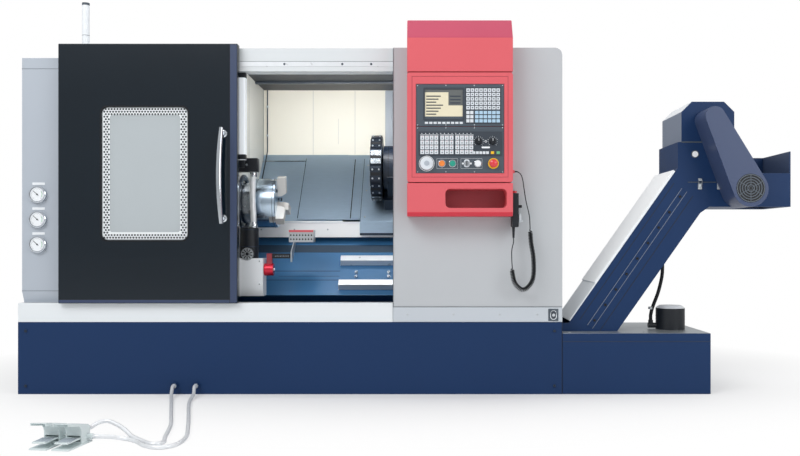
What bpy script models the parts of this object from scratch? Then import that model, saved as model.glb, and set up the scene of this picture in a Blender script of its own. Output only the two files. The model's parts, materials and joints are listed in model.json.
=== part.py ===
"""CNC turning lathe with chip conveyor, coolant tank, operator console and foot switch.

Metres, +Z up. X runs along the spindle, the operator stands at -Y, and the origin is the
centre of the base's underside. Slanted pieces are drawn in two directions measured from
the spindle axis: "up" runs back and upwards along the slant bed, "out" is square to it.
"""

import math

import bmesh
import bpy
from mathutils import Matrix, Vector

# Clearances and sheet thickness
GAP = 0.0003
RUNNING_GAP = 0.0006
SHEET = 0.004

# Base
BASE_LENGTH = 2.600
BASE_DEPTH = 1.600
BASE_HEIGHT = 0.344
BASE_WALL = 0.010
BASE_FLOOR = 0.014
BASE_RIB = 0.060

# Enclosure
LEDGE_HEIGHT = 0.091
LEDGE_DEPTH = 0.070
HOUSE_HEIGHT = 1.220
CABINET_INSET = 0.010
CABINET_WIDTH = 0.195
CABINET_HEIGHT = 1.175
CABINET_SETBACK = 0.020
PLINTH_HEIGHT = 0.055
PLINTH_SLOPE = 0.020
OPENING_WIDTH = 0.736
HEADER_HEIGHT = 0.110
HEADER_DEPTH = 0.075
RAIL_HEIGHT = 0.025
RAIL_UP = 0.022
RAIL_GROOVE = 0.002
COVER_CORNER = 0.035
CEILING_DROP = 0.028
BACK_WALL_SETBACK = 0.945
LINER_INSET = 0.130

# Door
DOOR_WIDTH = 0.850
DOOR_HEIGHT = 1.232
DOOR_THICKNESS = 0.045
DOOR_PROUD = 0.030
WINDOW_LEFT = 0.205
WINDOW_WIDTH = 0.410
WINDOW_BOTTOM = 0.300
WINDOW_HEIGHT = 0.632
WINDOW_CORNER = 0.030
WINDOW_THICKNESS = 0.012
WINDOW_SETBACK = 0.006
HANDLE_INSET = 0.067
HANDLE_BOTTOM = 0.378
HANDLE_LENGTH = 0.455
HANDLE_RADIUS = 0.011
HANDLE_REACH = 0.050
HANDLE_BOW = 0.030

# Spindle line
SPINDLE_HEIGHT = 0.929
SPINDLE_SETBACK = 0.360
SLANT_ANGLE = 45.0
WORK_LEFT = -0.300
HEADSTOCK_LENGTH = 0.600
HEADSTOCK_RADIUS = 0.130
SPINDLE_RADIUS = 0.080
SPINDLE_BORE = 0.033
NOSE_RADIUS = 0.105
NOSE_REACH = 0.065
PULLEY_RADIUS = 0.130
PULLEY_WIDTH = 0.100
CYLINDER_RADIUS = 0.085
CYLINDER_LENGTH = 0.120
CYLINDER_BORE = 0.066
CHUCK_RADIUS = 0.127
CHUCK_LENGTH = 0.120
CHUCK_BORE = 0.038
JAW_WIDTH = 0.040
JAW_DEPTH = 0.035
JAW_REACH = 0.043
JAW_INNER = 0.040
JAW_OUTER = 0.139
JAW_PHASE = 105.0
DRAW_TUBE_RADIUS = 0.030
DRAW_TUBE_BORE = 0.024
DRAW_STROKE = 0.019
MOTOR_RADIUS = 0.098
MOTOR_LENGTH = 0.380
MOTOR_FROM_BACK = 0.130
MOTOR_HEIGHT = 0.520
MOTOR_PULLEY_RADIUS = 0.100
BELT_WIDTH = 0.080
BELT_THICKNESS = 0.009

# Slant bed, measured from the spindle axis
BED_OUT = -0.290
BED_UP_START = -0.3813
BED_UP_END = 0.700
BED_LEFT_REACH = 0.620
BED_RIGHT_INSET = 0.100
BED_BACK_INSET = 0.240
BED_SEAT_SETBACK = 0.530
BED_SKIN = 0.040
SADDLE_WAY_UPS = (0.110, 0.540)
SADDLE_WAY_WIDTH = 0.060
SADDLE_WAY_HEIGHT = 0.045
TAIL_WAY_UPS = (-0.3266, -0.1537)
TAIL_WAY_WIDTH = 0.038
TAIL_WAY_HEIGHT = 0.040
TAIL_WAY_START = 0.200
SCREW_RADIUS = 0.016
SCREW_UP = 0.320
SCREW_OUT = -0.268

# Way covers, saddle and turret
COVER_OUT = -0.185
COVER_UP_START = 0.067
COVER_UP_END = 0.640
LEAF = 0.003
FIXED_LEAF_END = 0.200
MIDDLE_LEAF_START = -0.046
MIDDLE_LEAF_END = 0.385
SADDLE_LEAF_START = 0.2425
APRON_HEIGHT = 0.087
SADDLE_LEFT = 0.295
SADDLE_RIGHT = 0.860
CARRIAGE_LEFT = 0.575
SADDLE_PLATE = 0.005
TURRET_LEFT = 0.356
TURRET_THICKNESS = 0.063
TURRET_RADIUS = 0.170
TURRET_STATIONS = 12
TURRET_UP = 0.2834
TURRET_BODY_RADIUS = 0.120
TURRET_BODY_LENGTH = 0.300
CROSS_PLATE_HEIGHT = 0.070
CROSS_PLATE_START = 0.140
CROSS_PLATE_END = 0.500

# Tailstock
TAIL_INSET = 0.500
TAIL_LENGTH = 0.300
QUILL_RADIUS = 0.0375
QUILL_PROUD = 0.040
CENTRE_LENGTH = 0.040

# Parts catcher
CATCHER_BOX_WIDTH = 0.144
CATCHER_BOX_DEPTH = 0.095
CATCHER_BOX_FRONT = 0.135
CATCHER_BOX_BOTTOM = 0.459
CATCHER_BOX_HEIGHT = 0.187
CATCHER_DRUM_RADIUS = 0.046
CATCHER_DRUM_HEIGHT = 0.150
CATCHER_PIVOT_HEIGHT = 0.590
CATCHER_HUB_RADIUS = 0.031
CATCHER_HUB_LENGTH = 0.045
CATCHER_ARM_RISE = 0.067
CATCHER_ARM_LENGTH = 0.125
CATCHER_TRAY_LENGTH = 0.124
CATCHER_TRAY_RISE = 0.136
CATCHER_TRAY_HEIGHT = 0.062
CATCHER_TRAY_BACK = 0.120
CATCHER_TRAY_DEPTH = 0.090
CONDUIT_RADIUS = 0.016

# Operator console
CONSOLE_INSET = 0.069
CONSOLE_WIDTH = 0.491
CONSOLE_PROUD = 0.120
HOOD_BOTTOM = 1.5165
HOOD_FOLD = 1.675
HOOD_TOP = 1.770
HOOD_SLOPE = 0.060
BOX_BOTTOM = 1.0040
TRAY_BOTTOM = 0.846
CONSOLE_GAP = 0.004
PANEL_RECESS = 0.012
PANEL_THICKNESS = 0.009
PANEL_INSET = 0.042
SCREEN_PANEL_HEIGHT = 0.194
OPERATOR_PANEL_HEIGHT = 0.2155
TRAY_OPENING_LEFT = 0.178
TRAY_OPENING_WIDTH = 0.284
TRAY_OPENING_BOTTOM = 0.0385
TRAY_OPENING_HEIGHT = 0.088
TRAY_OPENING_DEPTH = 0.095
E_STOP_RADIUS = 0.020
E_STOP_STEM = 0.010
BUTTON_RADIUS = 0.014
KNOB_RADIUS = 0.016
HANDWHEEL_RADIUS = 0.031
BUTTON_ROW = 0.0440
KNOB_ROW = 0.1465

# Hand pendant and its lead
PENDANT_THICKNESS = 0.029
PENDANT_DEPTH = 0.080
PENDANT_BOTTOM = 0.797
PENDANT_HEIGHT = 0.158
PENDANT_WHEEL_RADIUS = 0.022
LEAD_RADIUS = 0.0035
COIL_RADIUS = 0.010
GLAND_RADIUS = 0.008
GLAND_LENGTH = 0.014
GLAND_HEIGHT = 1.058
LEAD_SETOUT = 0.056

# Chip conveyor
CONVEYOR_FRONT = 0.100
CONVEYOR_DEPTH = 0.323
CONVEYOR_ANGLE = 54.9
CONVEYOR_FOOT_RUN = 0.049
CONVEYOR_LEVEL = 0.331
CONVEYOR_DROP = 0.130
CONVEYOR_END_INSET = 0.250
CONVEYOR_THICKNESS = 0.2166
CONVEYOR_NECK_RUN = 0.533
CONVEYOR_NECK_LENGTH = 0.275
CONVEYOR_NECK_TOP = 1.216
CHUTE_BOTTOM = 0.899
CHUTE_LENGTH = 0.277
CHUTE_TOP = 1.170
CHUTE_FRONT_TOP = 1.064
CONVEYOR_WALL = 0.006
HOOD_SIDE_INSET = 0.017
HOOD_SIDE_LENGTH = 0.260
HOOD_SIDE_TOP = 1.414
HOOD_CHAMFER = 0.050
GUARD_DEPTH = 0.160
GUARD_TOP_RUN = 0.128
GUARD_TOP_HEIGHT = 1.320
GUARD_TOP_RADIUS = 0.0466
GUARD_BOTTOM_RUN = 0.295
GUARD_BOTTOM_HEIGHT = 0.976
GUARD_BOTTOM_RADIUS = 0.0837
CONVEYOR_COVER_THICKNESS = 0.006
CONVEYOR_COVER_SPLIT = 0.250

# Coolant tank, pump and hose
TANK_LENGTH = 0.709
TANK_DEPTH = 0.550
TANK_HEIGHT = 0.291
TANK_WALL = 0.006
PUMP_RUN = 0.577
PUMP_SETBACK = 0.210
PUMP_RADIUS = 0.071
PUMP_HEIGHT = 0.118
PUMP_DEPTH = 0.200
HOSE_RADIUS = 0.009
HOSE_FOOT_REACH = 0.0983
HOSE_FOOT_HEIGHT = 0.336
HOSE_HEAD_RUN = 0.0599
HOSE_HEAD_HEIGHT = 0.620

# Signal mast
MAST_INSET = 0.245
MAST_SETBACK = 0.200
MAST_HEIGHT = 0.270
MAST_RADIUS = 0.018

# Foot switch and its leads
SWITCH_X = -0.658
SWITCH_Y = -1.815
SWITCH_TURN = -8.0
SWITCH_WIDTH = 0.066
SWITCH_SPACING = 0.0846
SWITCH_DEPTH = 0.157
SWITCH_HEIGHT = 0.0945
SWITCH_REAR_HEIGHT = 0.068
SWITCH_PLATE = 0.006
SWITCH_BODY_DEPTH = 0.058
SWITCH_BODY_SETBACK = 0.012
PEDAL_HEIGHT = 0.022
PEDAL_THICKNESS = 0.006
PEDAL_INSET = 0.008
LEAD_OUTLET_HEIGHT = 0.0435
ARMOUR_RADIUS = 0.008
OUTLET_LENGTH = 0.020
OUTLET_RADIUS = 0.014
LEAD_OUTLETS = (-0.5466, -0.4440)

# Places worked out from the sizes above
LEAF_PITCH = LEAF + RUNNING_GAP
LEFT = -BASE_LENGTH / 2
RIGHT = BASE_LENGTH / 2
FRONT = -BASE_DEPTH / 2
BACK = BASE_DEPTH / 2
LEDGE_TOP = BASE_HEIGHT + LEDGE_HEIGHT
ROOF = LEDGE_TOP + HOUSE_HEIGHT
CABINET_LEFT = LEFT + CABINET_INSET
DOOR_LEFT = CABINET_LEFT + CABINET_WIDTH
OPENING_LEFT = DOOR_LEFT + DOOR_WIDTH
OPENING_RIGHT = OPENING_LEFT + OPENING_WIDTH
SHELL_FRONT = FRONT - DOOR_PROUD + DOOR_THICKNESS + GAP
SPINDLE_Y = FRONT + SPINDLE_SETBACK
HEADSTOCK_RIGHT = WORK_LEFT - SHEET - GAP
HEADSTOCK_LEFT = HEADSTOCK_RIGHT - HEADSTOCK_LENGTH
BED_LEFT = WORK_LEFT - BED_LEFT_REACH
BED_RIGHT = RIGHT - BED_RIGHT_INSET
BED_BACK = BACK - BED_BACK_INSET
BED_SEAT_FRONT = FRONT + BED_SEAT_SETBACK
LINER_RIGHT = RIGHT - LINER_INSET
TAIL_LEFT = RIGHT - TAIL_INSET
PULLEY_RIGHT = BED_LEFT - 0.030
PULLEY_LEFT = PULLEY_RIGHT - PULLEY_WIDTH
NOSE_END = WORK_LEFT + NOSE_REACH
CHUCK_FACE = NOSE_END + CHUCK_LENGTH
MOTOR_Y = BACK - MOTOR_FROM_BACK
CONSOLE_LEFT = OPENING_RIGHT + CONSOLE_INSET
CONSOLE_RIGHT = CONSOLE_LEFT + CONSOLE_WIDTH
CONSOLE_FRONT = FRONT - CONSOLE_PROUD
OPERATOR_PANEL_BOTTOM = BOX_BOTTOM + PANEL_INSET
LEAD_PLANE = FRONT - LEAD_SETOUT
MAST_X = LEFT + MAST_INSET
CONVEYOR_LEFT = LEFT + CONVEYOR_END_INSET
CONVEYOR_FOOT = RIGHT + CONVEYOR_FOOT_RUN
CONVEYOR_NECK_LEFT = CONVEYOR_FOOT + CONVEYOR_NECK_RUN
CONVEYOR_NECK_RIGHT = CONVEYOR_NECK_LEFT + CONVEYOR_NECK_LENGTH
CHUTE_RIGHT = CONVEYOR_NECK_RIGHT + CHUTE_LENGTH
HOOD_SIDE_LEFT = CONVEYOR_NECK_LEFT + HOOD_SIDE_INSET
HOOD_SIDE_RIGHT = HOOD_SIDE_LEFT + HOOD_SIDE_LENGTH
GUARD_TOP = (CONVEYOR_NECK_LEFT + GUARD_TOP_RUN, GUARD_TOP_HEIGHT)
GUARD_BOTTOM = (CONVEYOR_NECK_LEFT + GUARD_BOTTOM_RUN, GUARD_BOTTOM_HEIGHT)
PUMP_X = RIGHT + PUMP_RUN
HOSE_FOOT_X = PUMP_X - HOSE_FOOT_REACH
HOSE_HEAD_X = HOSE_FOOT_X + HOSE_HEAD_RUN
CONVEYOR_Y = FRONT + CONVEYOR_FRONT
CONVEYOR_BACK = CONVEYOR_Y + CONVEYOR_DEPTH

FINISHES = {
    "navy": ((0.018, 0.049, 0.120), 0.45, 0.0),
    "pale": ((0.530, 0.560, 0.600), 0.50, 0.0),
    "cream": ((0.830, 0.820, 0.760), 0.50, 0.0),
    "black_gloss": ((0.012, 0.014, 0.018), 0.12, 0.0),
    "red": ((0.720, 0.045, 0.070), 0.40, 0.0),
    "slate": ((0.055, 0.070, 0.085), 0.45, 0.0),
    "steel": ((0.520, 0.540, 0.560), 0.30, 1.0),
    "bed_blue": ((0.045, 0.110, 0.200), 0.45, 0.0),
    "dark": ((0.020, 0.024, 0.030), 0.50, 0.0),
    "black": ((0.012, 0.012, 0.014), 0.55, 0.0),
    "white": ((0.800, 0.810, 0.820), 0.40, 0.0),
    "glass": ((0.420, 0.450, 0.470), 0.10, 0.0),
    "rubber": ((0.015, 0.015, 0.017), 0.75, 0.0),
    "orange": ((0.850, 0.260, 0.040), 0.35, 0.0),
    "teal": ((0.030, 0.420, 0.330), 0.35, 0.0),
    "zinc": ((0.700, 0.720, 0.740), 0.40, 0.8),
    "tread": ((0.640, 0.700, 0.690), 0.50, 0.0),
}

AXES = {"X": 0, "Y": 1, "Z": 2}


def clear_scene():
    """Remove every object that the file holds."""
    for item in list(bpy.data.objects):
        bpy.data.objects.remove(item, do_unlink=True)


def finish_of(name):
    """The material with this name, made the first time that it is asked for."""
    material = bpy.data.materials.get(name)
    if material is None:
        colour, roughness, metallic = FINISHES[name]
        material = bpy.data.materials.new(name)
        material.use_nodes = True
        shader = material.node_tree.nodes["Principled BSDF"]
        shader.inputs["Base Color"].default_value = (*colour, 1.0)
        shader.inputs["Roughness"].default_value = roughness
        shader.inputs["Metallic"].default_value = metallic
        material.diffuse_color = (*colour, 1.0)
    return material


def in_space(axis, along, first, second):
    """A point from its place along an axis and its two other coordinates, in X, Y, Z order."""
    point = [first, second]
    point.insert(AXES[axis], along)
    return Vector(point)


def slant(up, out):
    """Y and Z of a point given along the slant and square to it, from the spindle axis."""
    angle = math.radians(SLANT_ANGLE)
    along = Vector((math.cos(angle), math.sin(angle)))
    across = Vector((-math.sin(angle), math.cos(angle)))
    place = Vector((SPINDLE_Y, SPINDLE_HEIGHT)) + up * along + out * across
    return place.x, place.y


def slanted(points):
    """An outline drawn along and square to the slant, as Y and Z."""
    return [slant(up, out) for up, out in points]


def rectangle(a0, b0, a1, b1):
    """A rectangle's four corners."""
    return [(a0, b0), (a1, b0), (a1, b1), (a0, b1)]


def arc(centre, radius, start, stop, steps):
    """Points along an arc, from one angle to another in degrees, both ends included."""
    return [
        (
            centre[0] + radius * math.cos(math.radians(start + (stop - start) * i / steps)),
            centre[1] + radius * math.sin(math.radians(start + (stop - start) * i / steps)),
        )
        for i in range(steps + 1)
    ]


def rounded(a0, b0, a1, b1, radius, steps=3):
    """A rectangle with round corners."""
    corners = (
        ((a1 - radius, b0 + radius), -90),
        ((a1 - radius, b1 - radius), 0),
        ((a0 + radius, b1 - radius), 90),
        ((a0 + radius, b0 + radius), 180),
    )
    return [p for centre, start in corners for p in arc(centre, radius, start, start + 90, steps)]


def facing_out(shape):
    """The shape with all its faces pointing out."""
    bmesh.ops.recalc_face_normals(shape, faces=shape.faces)
    return shape


def prism(outline, axis, start, stop):
    """An outline pushed along an axis. It is given in the two other coordinates' order."""
    shape = bmesh.new()
    near = [shape.verts.new(in_space(axis, start, a, b)) for a, b in outline]
    far = [shape.verts.new(in_space(axis, stop, a, b)) for a, b in outline]
    shape.faces.new(near)
    shape.faces.new(reversed(far))
    for i in range(len(near)):
        j = (i + 1) % len(near)
        shape.faces.new((near[i], far[i], far[j], near[j]))
    return facing_out(shape)


def block(low, high):
    """A box between two corners."""
    return prism(rectangle(low[0], low[1], high[0], high[1]), "Z", low[2], high[2])


def drum(axis, centre, radius, start, stop, sides=32):
    """A round bar along an axis. Its centre is given in the two other coordinates."""
    outline = arc(centre, radius, 0, 360 - 360 / sides, sides - 1)
    return prism(outline, axis, start, stop)


def turned(profile, axis, centre, sides=32):
    """A turned solid from (along, radius) points. Points of radius 0 close its ends."""
    shape = bmesh.new()
    rings = []
    for along, radius in profile:
        if radius == 0:
            rings.append([shape.verts.new(in_space(axis, along, *centre))])
        else:
            ring = arc(centre, radius, 0, 360 - 360 / sides, sides - 1)
            rings.append([shape.verts.new(in_space(axis, along, a, b)) for a, b in ring])
    closed = profile[0][1] != 0
    count = len(rings) if closed else len(rings) - 1
    for k in range(count):
        one, two = rings[k], rings[(k + 1) % len(rings)]
        for i in range(sides):
            j = (i + 1) % sides
            face = [one[i % len(one)], one[j % len(one)], two[j % len(two)], two[i % len(two)]]
            shape.faces.new(list(dict.fromkeys(face)))
    return facing_out(shape)


def moved(shape, matrix):
    """The shape after a move or a turn."""
    bmesh.ops.transform(shape, matrix=matrix, verts=shape.verts)
    return shape


def turn_about(axis, angle, centre):
    """A turn in degrees about an axis through a point."""
    there = Matrix.Translation(Vector(centre))
    return there @ Matrix.Rotation(math.radians(angle), 4, axis) @ there.inverted()


def object_from(name, shape):
    """A new object in the scene that holds the shape."""
    mesh = bpy.data.meshes.new(name)
    shape.to_mesh(mesh)
    shape.free()
    item = bpy.data.objects.new(name, mesh)
    bpy.context.scene.collection.objects.link(item)
    return item


def combine(item, shape, operation):
    """Join a shape to an object's mesh, or cut it away."""
    tool = object_from("tool", shape)
    modifier = item.modifiers.new(operation.title(), "BOOLEAN")
    modifier.operation = operation
    modifier.solver = "EXACT"
    modifier.object = tool
    bpy.context.view_layer.update()
    result = item.evaluated_get(bpy.context.evaluated_depsgraph_get())
    mesh = bpy.data.meshes.new_from_object(result)
    item.modifiers.clear()
    for old in (item.data, tool.data):
        old.name = "old"
    item.data = mesh
    bpy.data.objects.remove(tool, do_unlink=True)


def shade(item):
    """Smooth shading with sharp edges kept."""
    item.data.shade_smooth()
    item.data.set_sharp_from_angle(angle=math.radians(35))


def piece(name, finish, shape, add=(), cut=(), origin=(0, 0, 0), parent=None):
    """One named piece: a shape with others joined to it and then others cut from it."""
    item = object_from(name, shape)
    for other in add:
        combine(item, other, "UNION")
    for other in cut:
        combine(item, other, "DIFFERENCE")
    item.data.name = name
    item.data.materials.clear()
    item.data.materials.append(finish_of(finish))
    item.data.transform(Matrix.Translation(-Vector(origin)))
    item.location = Vector(origin)
    if parent is not None:
        item.parent = parent
        item.location = Vector(origin) - parent.location
    shade(item)
    return item


def pivot(name, place):
    """An empty that carries pieces which move together."""
    item = bpy.data.objects.new(name, None)
    item.location = Vector(place)
    bpy.context.scene.collection.objects.link(item)
    return item


def build_base():
    """Welded base: an open box with two ribs that carry the bed and a notch for the conveyor."""
    inner = BASE_WALL
    above = BASE_HEIGHT + BASE_WALL
    bays = (
        (FRONT + inner, BED_SEAT_FRONT),
        (BED_SEAT_FRONT + BASE_RIB, BED_BACK - BASE_RIB),
        (BED_BACK, BACK - inner),
    )
    cuts = [
        block((LEFT + inner, start, BASE_FLOOR), (RIGHT - inner, stop, above))
        for start, stop in bays
    ]
    notch = block(
        (RIGHT - 2 * inner, CONVEYOR_Y - inner, CONVEYOR_LEVEL - CONVEYOR_DROP - GAP),
        (RIGHT + inner, CONVEYOR_BACK + inner, above),
    )
    outlets = [
        drum("Y", (x, LEAD_OUTLET_HEIGHT), OUTLET_RADIUS, FRONT - OUTLET_LENGTH, FRONT + inner / 2, sides=16)
        for x in LEAD_OUTLETS
    ]
    body = block((LEFT, FRONT, 0), (RIGHT, BACK, BASE_HEIGHT))
    piece("base_frame", "navy", body, add=outlets, cut=[*cuts, notch])


def build_bed():
    """Slant bed casting with its ways, its screw bearings and its feed motor."""
    seat = BASE_HEIGHT + GAP
    shoulder = slant(BED_UP_END, BED_OUT)
    knee = 0.600
    outline = [
        slant(BED_UP_START, BED_OUT),
        shoulder,
        (BED_BACK - 0.160, shoulder[1]),
        (BED_BACK, knee),
        (BED_BACK, seat),
        (BED_SEAT_FRONT, seat),
        (BED_SEAT_FRONT - 0.100, seat + BED_SKIN),
    ]
    body = prism(outline, "X", BED_LEFT, BED_RIGHT)
    ways = [
        prism(
            slanted(rectangle(up - width / 2, BED_OUT - BED_SKIN / 2, up + width / 2, BED_OUT + height)),
            "X",
            start,
            BED_RIGHT - 0.020,
        )
        for ups, width, height, start in (
            (SADDLE_WAY_UPS, SADDLE_WAY_WIDTH, SADDLE_WAY_HEIGHT, WORK_LEFT + 0.030),
            (TAIL_WAY_UPS, TAIL_WAY_WIDTH, TAIL_WAY_HEIGHT, TAIL_WAY_START),
        )
        for up in ups
    ]
    bearing = rectangle(SCREW_UP - 0.035, BED_OUT - 0.010, SCREW_UP + 0.035, SCREW_OUT + 0.021)
    bearings = [
        prism(slanted(bearing), "X", WORK_LEFT + 0.030, WORK_LEFT + 0.050),
        prism(slanted(bearing), "X", BED_RIGHT - 0.050, BED_RIGHT),
    ]
    motor = prism(slanted(rectangle(SCREW_UP - 0.060, -0.350, SCREW_UP + 0.060, -0.230)), "X",
                  BED_RIGHT - 0.005, BED_RIGHT + 0.080)
    hollow = [
        (BED_SEAT_FRONT + BASE_RIB, 0),
        (BED_BACK - BASE_RIB, 0),
        (BED_BACK - BASE_RIB, knee - 0.010),
        (BED_BACK - 0.200, shoulder[1] - 0.060),
        slant(BED_UP_END - 0.090, BED_OUT - BED_SKIN),
        slant(BED_UP_START + 0.240, BED_OUT - BED_SKIN),
        (BED_SEAT_FRONT + BASE_RIB, seat + 0.050),
    ]
    bays = 4
    pitch = (BED_RIGHT - BED_LEFT - BED_SKIN) / bays
    pockets = [
        prism(hollow, "X", BED_LEFT + BED_SKIN + i * pitch, BED_LEFT + (i + 1) * pitch)
        for i in range(bays)
    ]
    screw_hole = drum("X", slant(SCREW_UP, SCREW_OUT), SCREW_RADIUS + RUNNING_GAP,
                      WORK_LEFT, BED_RIGHT - 0.010, sides=24)
    piece("bed_casting", "bed_blue", body, add=[*ways, *bearings, motor], cut=[*pockets, screw_hole])
    centre = slant(SCREW_UP, SCREW_OUT)
    screw = drum("X", centre, SCREW_RADIUS, WORK_LEFT + 0.031, BED_RIGHT - 0.012, sides=24)
    axis = (BED_RIGHT, *centre)
    piece("z_screw", "steel", screw, origin=axis, parent=pivot("screw_axis", axis))


def build_spindle_unit():
    """Headstock, spindle with pulley and clamping cylinder, chuck, jaws and draw tube."""
    centre = (SPINDLE_Y, SPINDLE_HEIGHT)
    foot = BED_OUT + GAP
    crown = HEADSTOCK_RADIUS
    outline = [(-0.200, foot), (0.300, foot), (0.300, -0.100), (crown, crown * 0.4), (crown * 0.4, crown),
               (-crown * 0.4, crown), (-crown, crown * 0.4), (-0.200, -0.120)]
    bore = drum("X", centre, SPINDLE_RADIUS + RUNNING_GAP, HEADSTOCK_LEFT - 0.010,
                HEADSTOCK_RIGHT + 0.010, sides=48)
    piece("headstock", "dark", prism(slanted(outline), "X", HEADSTOCK_LEFT, HEADSTOCK_RIGHT), cut=[bore])

    axis = pivot("spindle_axis", (NOSE_END, *centre))
    place = (NOSE_END, *centre)
    collar = HEADSTOCK_RIGHT + RUNNING_GAP
    cylinder_right = PULLEY_LEFT - 0.010
    cylinder_left = cylinder_right - CYLINDER_LENGTH
    wall = 0.013
    profile = [
        (NOSE_END, SPINDLE_BORE),
        (NOSE_END, NOSE_RADIUS),
        (collar, NOSE_RADIUS),
        (collar, SPINDLE_RADIUS),
        (PULLEY_RIGHT, SPINDLE_RADIUS),
        (PULLEY_RIGHT, PULLEY_RADIUS + 0.012),
        (PULLEY_RIGHT - 0.008, PULLEY_RADIUS + 0.012),
        (PULLEY_RIGHT - 0.008, PULLEY_RADIUS),
        (PULLEY_LEFT + 0.008, PULLEY_RADIUS),
        (PULLEY_LEFT + 0.008, PULLEY_RADIUS + 0.012),
        (PULLEY_LEFT, PULLEY_RADIUS + 0.012),
        (PULLEY_LEFT, CYLINDER_RADIUS),
        (cylinder_left, CYLINDER_RADIUS),
        (cylinder_left, SPINDLE_BORE),
        (cylinder_left + wall, SPINDLE_BORE),
        (cylinder_left + wall, CYLINDER_BORE),
        (cylinder_right - wall, CYLINDER_BORE),
        (cylinder_right - wall, SPINDLE_BORE),
    ]
    piece("spindle", "steel", turned(profile, "X", centre, sides=48), origin=place, parent=axis)

    chuck_back = NOSE_END + GAP
    chuck = turned(
        [
            (chuck_back, CHUCK_BORE),
            (chuck_back, CHUCK_RADIUS),
            (CHUCK_FACE - 0.004, CHUCK_RADIUS),
            (CHUCK_FACE, CHUCK_RADIUS - 0.004),
            (CHUCK_FACE, CHUCK_BORE),
        ],
        "X",
        centre,
        sides=48,
    )
    angles = [JAW_PHASE + 120 * i for i in range(3)]
    slot_floor = CHUCK_FACE - JAW_DEPTH
    half_slot = JAW_WIDTH / 2 + GAP
    slots = [
        moved(
            block((slot_floor, SPINDLE_Y, SPINDLE_HEIGHT - half_slot),
                  (CHUCK_FACE + 0.010, SPINDLE_Y + 2 * CHUCK_RADIUS, SPINDLE_HEIGHT + half_slot)),
            turn_about("X", angle, (0, *centre)),
        )
        for angle in angles
    ]
    piece("chuck_body", "steel", chuck, cut=slots, origin=place, parent=axis)

    step = CHUCK_FACE + 2 * GAP
    tip = CHUCK_FACE + JAW_REACH
    side = [
        (slot_floor + GAP, JAW_INNER),
        (tip - 0.026, JAW_INNER),
        (tip, JAW_INNER + 0.015),
        (tip, JAW_OUTER),
        (step, JAW_OUTER),
        (step, CHUCK_RADIUS - 0.006),
        (slot_floor + GAP, CHUCK_RADIUS - 0.006),
    ]
    for number, angle in enumerate(angles, 1):
        jaw = prism([(x, SPINDLE_Y + r) for x, r in side], "Z",
                    SPINDLE_HEIGHT - JAW_WIDTH / 2, SPINDLE_HEIGHT + JAW_WIDTH / 2)
        moved(jaw, turn_about("X", angle, (0, *centre)))
        piece(f"jaw_{number}", "steel", jaw, origin=place, parent=axis)

    piston_left = cylinder_left + wall + DRAW_STROKE + 0.005
    tube = turned(
        [
            (piston_left, DRAW_TUBE_BORE),
            (piston_left, CYLINDER_BORE - RUNNING_GAP),
            (piston_left + 0.015, CYLINDER_BORE - RUNNING_GAP),
            (piston_left + 0.015, DRAW_TUBE_RADIUS),
            (NOSE_END + 0.020, DRAW_TUBE_RADIUS),
            (NOSE_END + 0.020, DRAW_TUBE_BORE),
        ],
        "X",
        centre,
        sides=32,
    )
    piece("draw_tube", "steel", tube, origin=place, parent=axis)


def loop_outline(centres, radii, steps=16):
    """The outline of a belt around two pulleys, as a tight loop."""
    (y0, z0), (y1, z1) = centres
    span = math.hypot(y1 - y0, z1 - z0)
    base = math.degrees(math.atan2(z1 - z0, y1 - y0))
    lean = math.degrees(math.acos((radii[0] - radii[1]) / span))
    first = arc(centres[0], radii[0], base + lean, base + 360 - lean, steps)
    second = arc(centres[1], radii[1], base - lean, base + lean, steps)
    return first + second


def build_drive():
    """Spindle motor on the back of the bed, its pulley and the belt."""
    centre = (MOTOR_Y, MOTOR_HEIGHT)
    motor_left = BED_LEFT + 0.030
    body = drum("X", centre, MOTOR_RADIUS, motor_left, motor_left + MOTOR_LENGTH, sides=24)
    pad = block((motor_left + 0.040, BED_BACK + GAP, MOTOR_HEIGHT - 0.070),
                (motor_left + MOTOR_LENGTH - 0.040, MOTOR_Y, MOTOR_HEIGHT + 0.070))
    terminal_box = block((motor_left + 0.120, MOTOR_Y - 0.050, MOTOR_HEIGHT + 0.080),
                         (motor_left + 0.240, MOTOR_Y + 0.050, MOTOR_HEIGHT + MOTOR_RADIUS + 0.045))
    shaft = 0.020
    bore = drum("X", centre, shaft + RUNNING_GAP, motor_left - 0.010, motor_left + 0.102, sides=24)
    piece("spindle_motor", "dark", body, add=[pad, terminal_box], cut=[bore])

    profile = [
        (PULLEY_LEFT, 0),
        (PULLEY_LEFT, MOTOR_PULLEY_RADIUS + 0.010),
        (PULLEY_LEFT + 0.008, MOTOR_PULLEY_RADIUS + 0.010),
        (PULLEY_LEFT + 0.008, MOTOR_PULLEY_RADIUS),
        (PULLEY_RIGHT - 0.008, MOTOR_PULLEY_RADIUS),
        (PULLEY_RIGHT - 0.008, MOTOR_PULLEY_RADIUS + 0.010),
        (PULLEY_RIGHT, MOTOR_PULLEY_RADIUS + 0.010),
        (PULLEY_RIGHT, shaft),
        (motor_left + 0.100, shaft),
        (motor_left + 0.100, 0),
    ]
    place = (PULLEY_RIGHT, *centre)
    piece("motor_pulley", "steel", turned(profile, "X", centre, sides=48), origin=place,
          parent=pivot("motor_axis", place))

    middle = (PULLEY_LEFT + PULLEY_RIGHT) / 2
    centres = ((SPINDLE_Y, SPINDLE_HEIGHT), centre)
    inner = loop_outline(centres, (PULLEY_RADIUS + 0.0012, MOTOR_PULLEY_RADIUS + 0.0012))
    outer = loop_outline(
        centres, (PULLEY_RADIUS + BELT_THICKNESS, MOTOR_PULLEY_RADIUS + BELT_THICKNESS))
    left, right = middle - BELT_WIDTH / 2, middle + BELT_WIDTH / 2
    piece("drive_belt", "rubber", prism(outer, "X", left, right),
          cut=[prism(inner, "X", left - 0.010, right + 0.010)])


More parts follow.
